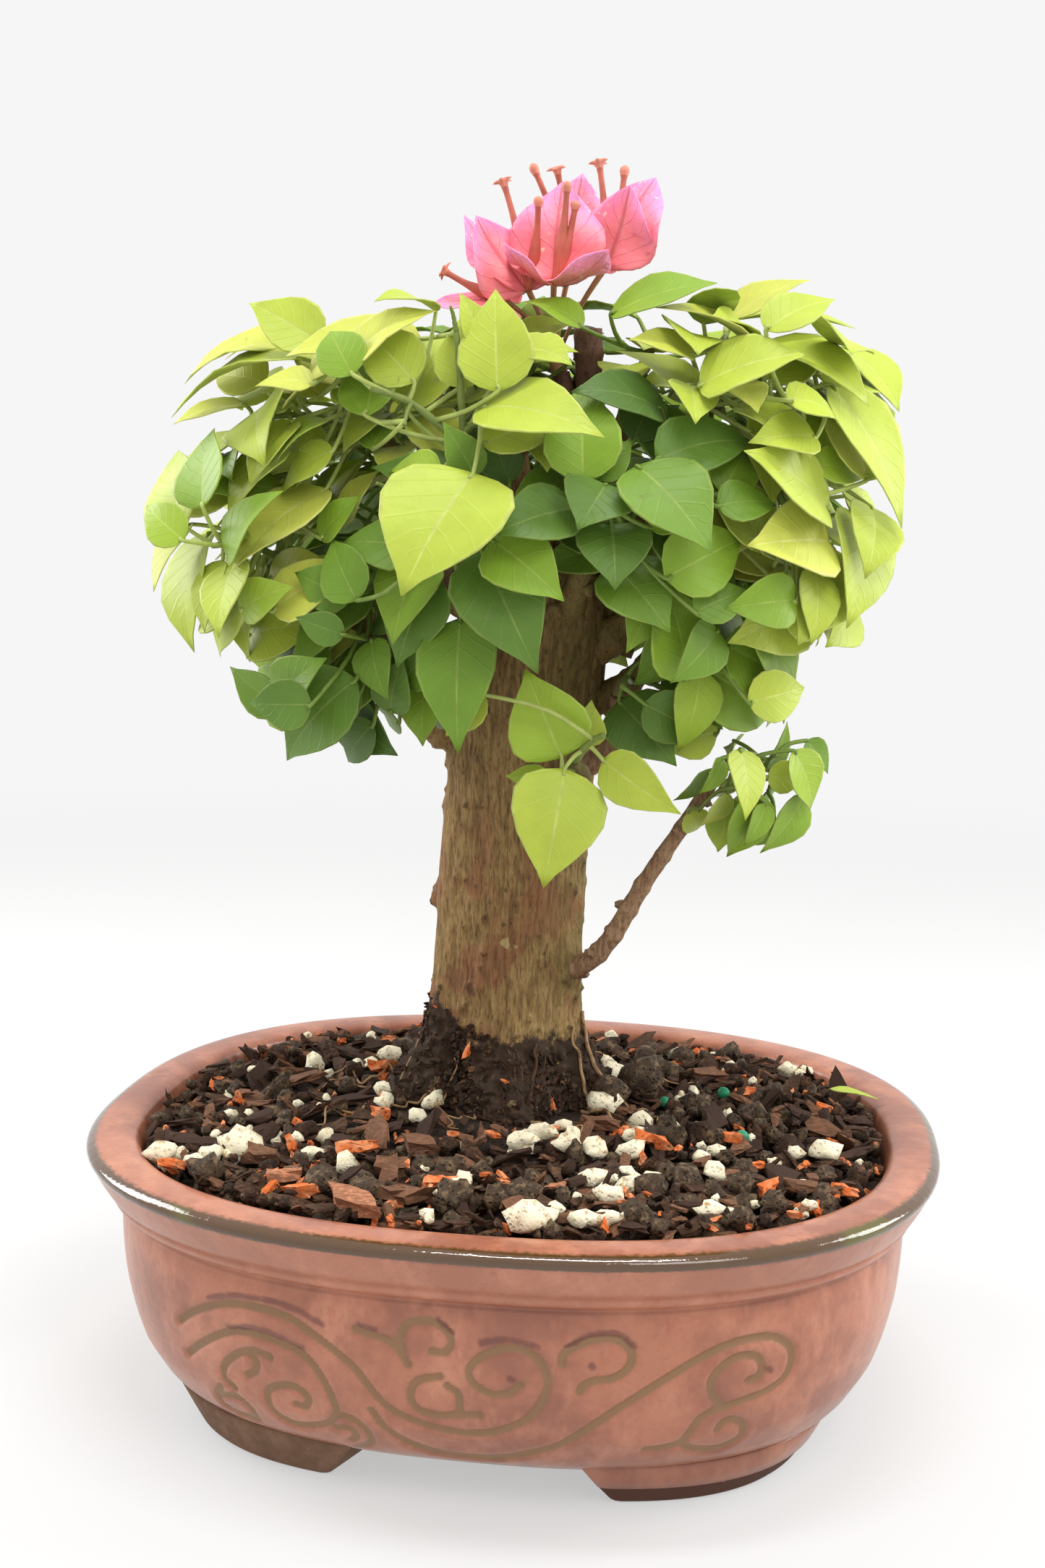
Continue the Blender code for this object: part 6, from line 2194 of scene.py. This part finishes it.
def dress_masses():
    rng = random.Random(SEED + 5)
    twigs = Heap()
    for tint, tint_name in enumerate(TINT_NAMES):
        heap = Heap()
        names, weights = zip(*DEALS[tint])
        members = [mass for mass in masses if mass["tint"] == tint]
        for mass in members:
            add_twigs(twigs, mass)
            chosen = LEADING_GREENS.get(mass["name"], ())
            for number, (node, shape) in enumerate(mass["leaves"]):
                green = rng.choices(range(len(names)), weights)[0]
                if number < len(chosen):
                    green = names.index(chosen[number])
                add_blade(heap, leaf_sheet, LEAF_OUTLINE, shape, rng, LEAF_LOOKS, 4 * green)
                add_stalk(twigs, node, shape, 2 if tint == 0 else 3)
        finishes = [finish for name in names for finish in greens[name]]
        solids = [mass["name"] for mass in members]
        make_piece("leaves_" + tint_name, heap, finishes, solids)
    make_piece("twigs", twigs, TWIG_FINISHES)


dress_masses()

# %% [markdown]
# ## A fallen leaf
#
# A narrow young leaf has dropped on the soil at the right, with its tip on the pot's lip. It is the
# same grid as the others, laid flat.

# %% The fallen leaf
# Its foot, its tip, its width and its bend in degrees
FALLEN_LEAF = ((75.5, 27.5, 65.6), (87.5, 22.5, 65.2), 0.55, 14)


def drop_leaf():
    foot, tip, width, bend = FALLEN_LEAF
    heap = Heap()
    shape = arched_shape(Vector(foot), Vector(tip), width, UP, math.radians(bend))
    add_blade(heap, leaf_sheet, LEAF_OUTLINE, shape, random.Random(SEED + 9), LEAF_LOOKS)
    make_piece("fallen_leaf", heap, greens["lime"])


drop_leaf()

# %% [markdown]
# ## The blossom
#
# What looks like a pink flower is three papery bracts round slim tubes, the true flowers. We look into
# the bracts from their inner side. They are coral at the foot and go magenta towards the edge, with
# darker veins and a few bleached flecks. They are few and they catch the eye, so each has a finer grid
# than a leaf.

# %% The blooms
# Each bloom: its foot, its bracts (tip, width and the way the inner side faces), and its tubes' tips
BLOOMS = (
    ((0, -2, 256),
     (((-11, -7, 273), 1.25, (0.5, -0.8, 0.3)), ((-16, 4, 275), 0.8, (0.5, -0.5, 0.5)),
      ((-3, 5, 274), 1.2, (0.2, -1.0, 0.1))),
     ((-7, 0, 282), (2.5, -8, 276.5))),
    ((6, -6, 257),
     (((19, -15, 264), 1.25, (-0.4, 0.2, 1.0)), ((6.4, 1, 281.5), 1.2, (0.0, -1.0, 0.2)),
      ((-4, -13, 266), 1.1, (0.6, 0.3, 0.8))),
     ((9, -9, 279.5), (11, -8, 275.5))),
    ((17, 0, 261),
     (((22.5, -6, 279), 1.3, (-0.3, -1.0, 0.2)), ((27, 5, 283), 1.2, (-0.5, -0.9, 0.1)),
      ((15, 11, 277), 1.2, (0.1, -1.0, 0.3))),
     ((14.3, 5, 286.8), (20.5, 4, 285.3))),
    ((8, 7, 262),
     (((9, 10, 285), 1.1, (0.1, -1.0, 0.1)), ((0, 17, 276), 1.2, (0.3, -0.9, 0.4)),
      ((17, 19, 273), 1.2, (-0.3, -0.8, 0.6))),
     ((-1.5, 8, 286.8), (5, 2, 285))),
    ((-4, -3, 254),
     (((-22, -4, 254), 1.05, (0.1, -0.55, 0.85)), ((-10, -13, 247.5), 1.2, (0.2, -0.45, 0.9)),
      ((-11, 6, 262), 1.0, (0.5, -0.5, 0.6))),
     ((-20, -3, 261.5),)),
)
# The tubes whose mouths are open, by bloom and number. The others are buds.
OPEN_MOUTHS = {(0, 0), (2, 0), (3, 1), (4, 0)}
# Some bracts cup the tubes and some curl back, in degrees
BRACT_BENDS = (-38, -16, 24, -30, 10)
BRACT_SPREAD = 1.3
FORK_RISE = 5.0
STEM_TIP = 1.2
BLOOM_STALK = (0.42, 0.75)
BRACT_OUTLINE = (
    (0.0, 0.05, 0.12, 0.20, 0.30, 0.42, 0.54, 0.66, 0.78, 0.88, 0.95, 1.0),
    (0.08, 0.23, 0.320, 0.375, 0.395, 0.385, 0.345, 0.280, 0.195, 0.110, 0.050, 0.004),
)
bract_sheet = blade_sheet(np.linspace(-1, 1, 12), np.linspace(0, 1, 14))
print("blooms:", len(BLOOMS), "faces of a bract:", len(bract_sheet[3]))

# %% Bract finishes
CORAL = (0.98, 0.240, 0.275)
MAGENTA = (0.97, 0.285, 0.550)
PAPER_PALE = (0.97, 0.400, 0.420)
VEIN_RED = (0.55, 0.060, 0.075)
FLECK = (0.90, 0.72, 0.55)
TUBE_PINK = (0.50, 0.140, 0.095)
STALK_TAN = (0.36, 0.180, 0.080)
MOUTH_CREAM = (0.70, 0.270, 0.190)

# %% Making the bract finishes


def bract_finish(name, shade):
    material, place = new_finish(name, 0.55)
    across, along = blade_places(place)
    coral, magenta = (tuple(shade * value for value in colour) for colour in (CORAL, MAGENTA))
    rim = (along * 0.9 + across * 0.35 + (place.noise(6, 3) - 0.5) * 0.5).step(0.48, 1.10)
    colour = blend(place.noise(4, 3).step(0.45, 0.75) * 0.5, coral, PAPER_PALE)
    colour = blend(rim, colour, magenta)
    ladder = along * 5.0 - across * 2.0 + (place.noise(5, 2) - 0.5) * 0.5
    vein = ladder.maths("PINGPONG", ladder, 0.5).step(0.43, 0.5)
    rib = 1 - across.step(0.02, 0.07)
    lines = vein.maths("MAXIMUM", vein * 0.45, rib)
    colour = blend(lines * 0.5, colour, VEIN_RED)
    flecks = place.noise(1.7, 3, 0.7).step(0.60, 0.66) * place.noise(9).step(0.52, 0.60)
    paint(material, "Base Color", blend(flecks * 0.8, colour, FLECK))
    emboss(material, lines + place.noise(1.3, 3) * 0.9, 0.18)
    return material


bract_finishes = (
    bract_finish("bract_paper", 1.0), bract_finish("bract_edge", 1.0), bract_finish("bract_rib", 0.9),
    bract_finish("bract_back", 0.9), plain_finish("flower_tube", TUBE_PINK, 0.55),
    plain_finish("tube_mouth", MOUTH_CREAM, 0.6), plain_finish("pedicel", STALK_TAN, 0.6),
)

# %% [markdown]
# ## Tubes and buds
#
# A flower tube is slim, with a swelling a third of the way up. Some still end in a closed bud. The
# others have opened into a small star whose five points curl back.

# %% Flower tubes
# A bract's fold at the rib, its waves, and its thickness in millimetres
BRACT_LOOKS = (0.06, 0.20, 0.25)
TUBE_SIDES = 20
# A tube's radius, how much more it is at the swelling, and the swelling's place and length as shares
TUBE_RADIUS, TUBE_SWELL = 0.66, 0.72
SWELL_PLACE, SWELL_LENGTH = 0.36, 0.20
TUBE_STATIONS = (0, 0.08, 0.16, 0.24, 0.32, 0.40, 0.50, 0.60, 0.70, 0.80, 0.87)
# The end of a bud or of a mouth: how far along, and the radius
BUD_END = ((0.90, 0.85), (0.94, 1.12), (0.97, 1.05), (0.99, 0.65), (1.0, 0.15))
MOUTH_END = ((0.92, 0.78), (0.96, 1.05), (0.985, 1.6))
MOUTH_LOBES = 5
MOUTH_RADIUS = 2.5
# The rings of a mouth: the share of its radius, and how far back it lies
MOUTH_RINGS = ((1.0, 0.55), (0.75, 0.0), (0.35, 0.3), (0.08, 1.0))

# %% A tube


def flower_tube(heap, foot, tip, is_open):
    """Adds a tube that ends in a bud, or in a mouth whose lobes curl back."""
    end = MOUTH_END if is_open else BUD_END
    stations = []
    for t in TUBE_STATIONS:
        swell = math.exp(-((t - SWELL_PLACE) / SWELL_LENGTH) ** 2)
        stations.append((t, TUBE_RADIUS + TUBE_SWELL * swell))
    stations += end
    bow = (tip - foot).orthogonal().normalized() * 0.7
    points = [foot.lerp(tip, t) + bow * math.sin(math.pi * t) for t, _ in stations]
    rings = np.array(tube_rings(points, [radius for _, radius in stations], TUBE_SIDES))
    out = np.array((tip - foot).normalized())
    if is_open:
        lobes = 0.5 + 0.5 * np.cos(MOUTH_LOBES * math.tau * np.arange(TUBE_SIDES) / TUBE_SIDES)
        spokes = (rings[-1] - np.array(points[-1])) / MOUTH_END[-1][1]
        reach = 1.0 + (MOUTH_RADIUS - 1.0) * lobes
        mouth = np.array(tip) - out * 0.2
        for share, back in MOUTH_RINGS:
            drop = back * (lobes if share == 1.0 else np.ones(TUBE_SIDES))
            ring = mouth + spokes * (reach * share)[:, None] - out * drop[:, None]
            rings = np.concatenate([rings, ring[None]])
        # The mouth's rings take the place of the tube's last one
        rings = np.delete(rings, -1 - len(MOUTH_RINGS), axis=0)
    start, before = len(heap.slots), heap.count
    add_drum(heap, rings, 4)
    placed = heap.points[-1]
    for k in range(start, len(heap.faces)):
        middle = placed[[i - before for i in heap.faces[k]]].mean(axis=0)
        if (middle - np.array(points[len(TUBE_STATIONS)])) @ out > 0.0:
            heap.slots[k] = 5


# %% Making the blossom


def make_blossom():
    rng = random.Random(SEED + 6)
    heap = Heap()
    start, out, radius = bough_end("right_bough")
    root, fork = start + out * (FORK_RISE - 2), start + out * FORK_RISE
    stem = curve_points([start, root, fork], 4)
    add_drum(heap, tube_rings(stem, taper(len(stem), radius * STEM_SHARE, STEM_TIP), 10), 6)
    for bloom, (foot, bracts, tubes) in enumerate(BLOOMS):
        foot = Vector(foot)
        lean = sum((Vector(tip) for tip, _, _ in bracts), Vector()) / len(bracts) - foot
        lean = (lean.normalized() + UP * 0.5).normalized()
        stalk = curve_points([root, fork.lerp(foot, 0.5) + UP, foot + lean * 2], 6)
        add_drum(heap, tube_rings(stalk, taper(len(stalk), *BLOOM_STALK), 8), 6)
        for number, (tip, width, inside) in enumerate(bracts):
            out = (Vector(tip) - foot).normalized()
            bend = math.radians(BRACT_BENDS[(3 * bloom + number) % len(BRACT_BENDS)])
            shape = arched_shape(foot + out * BRACT_SPREAD, Vector(tip), width, Vector(inside), bend)
            add_blade(heap, bract_sheet, BRACT_OUTLINE, shape, rng, BRACT_LOOKS)
        for tube, tip in enumerate(tubes):
            flower_tube(heap, foot + lean, Vector(tip), (bloom, tube) in OPEN_MOUTHS)
    make_piece("blossom_bracts", heap, bract_finishes, ("blossom",))


make_blossom()

# %% [markdown]
# ## The sizes
#
# The dressed plant has to fill the same box as the frame and no more, because whoever places it goes
# by the frame. We print both boxes.

# %% The end
visual_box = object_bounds()
for name, box in (("frame", cad_box), ("dressed", visual_box)):
    print(name, [round(value / MM, 1) for corner in box for value in corner])
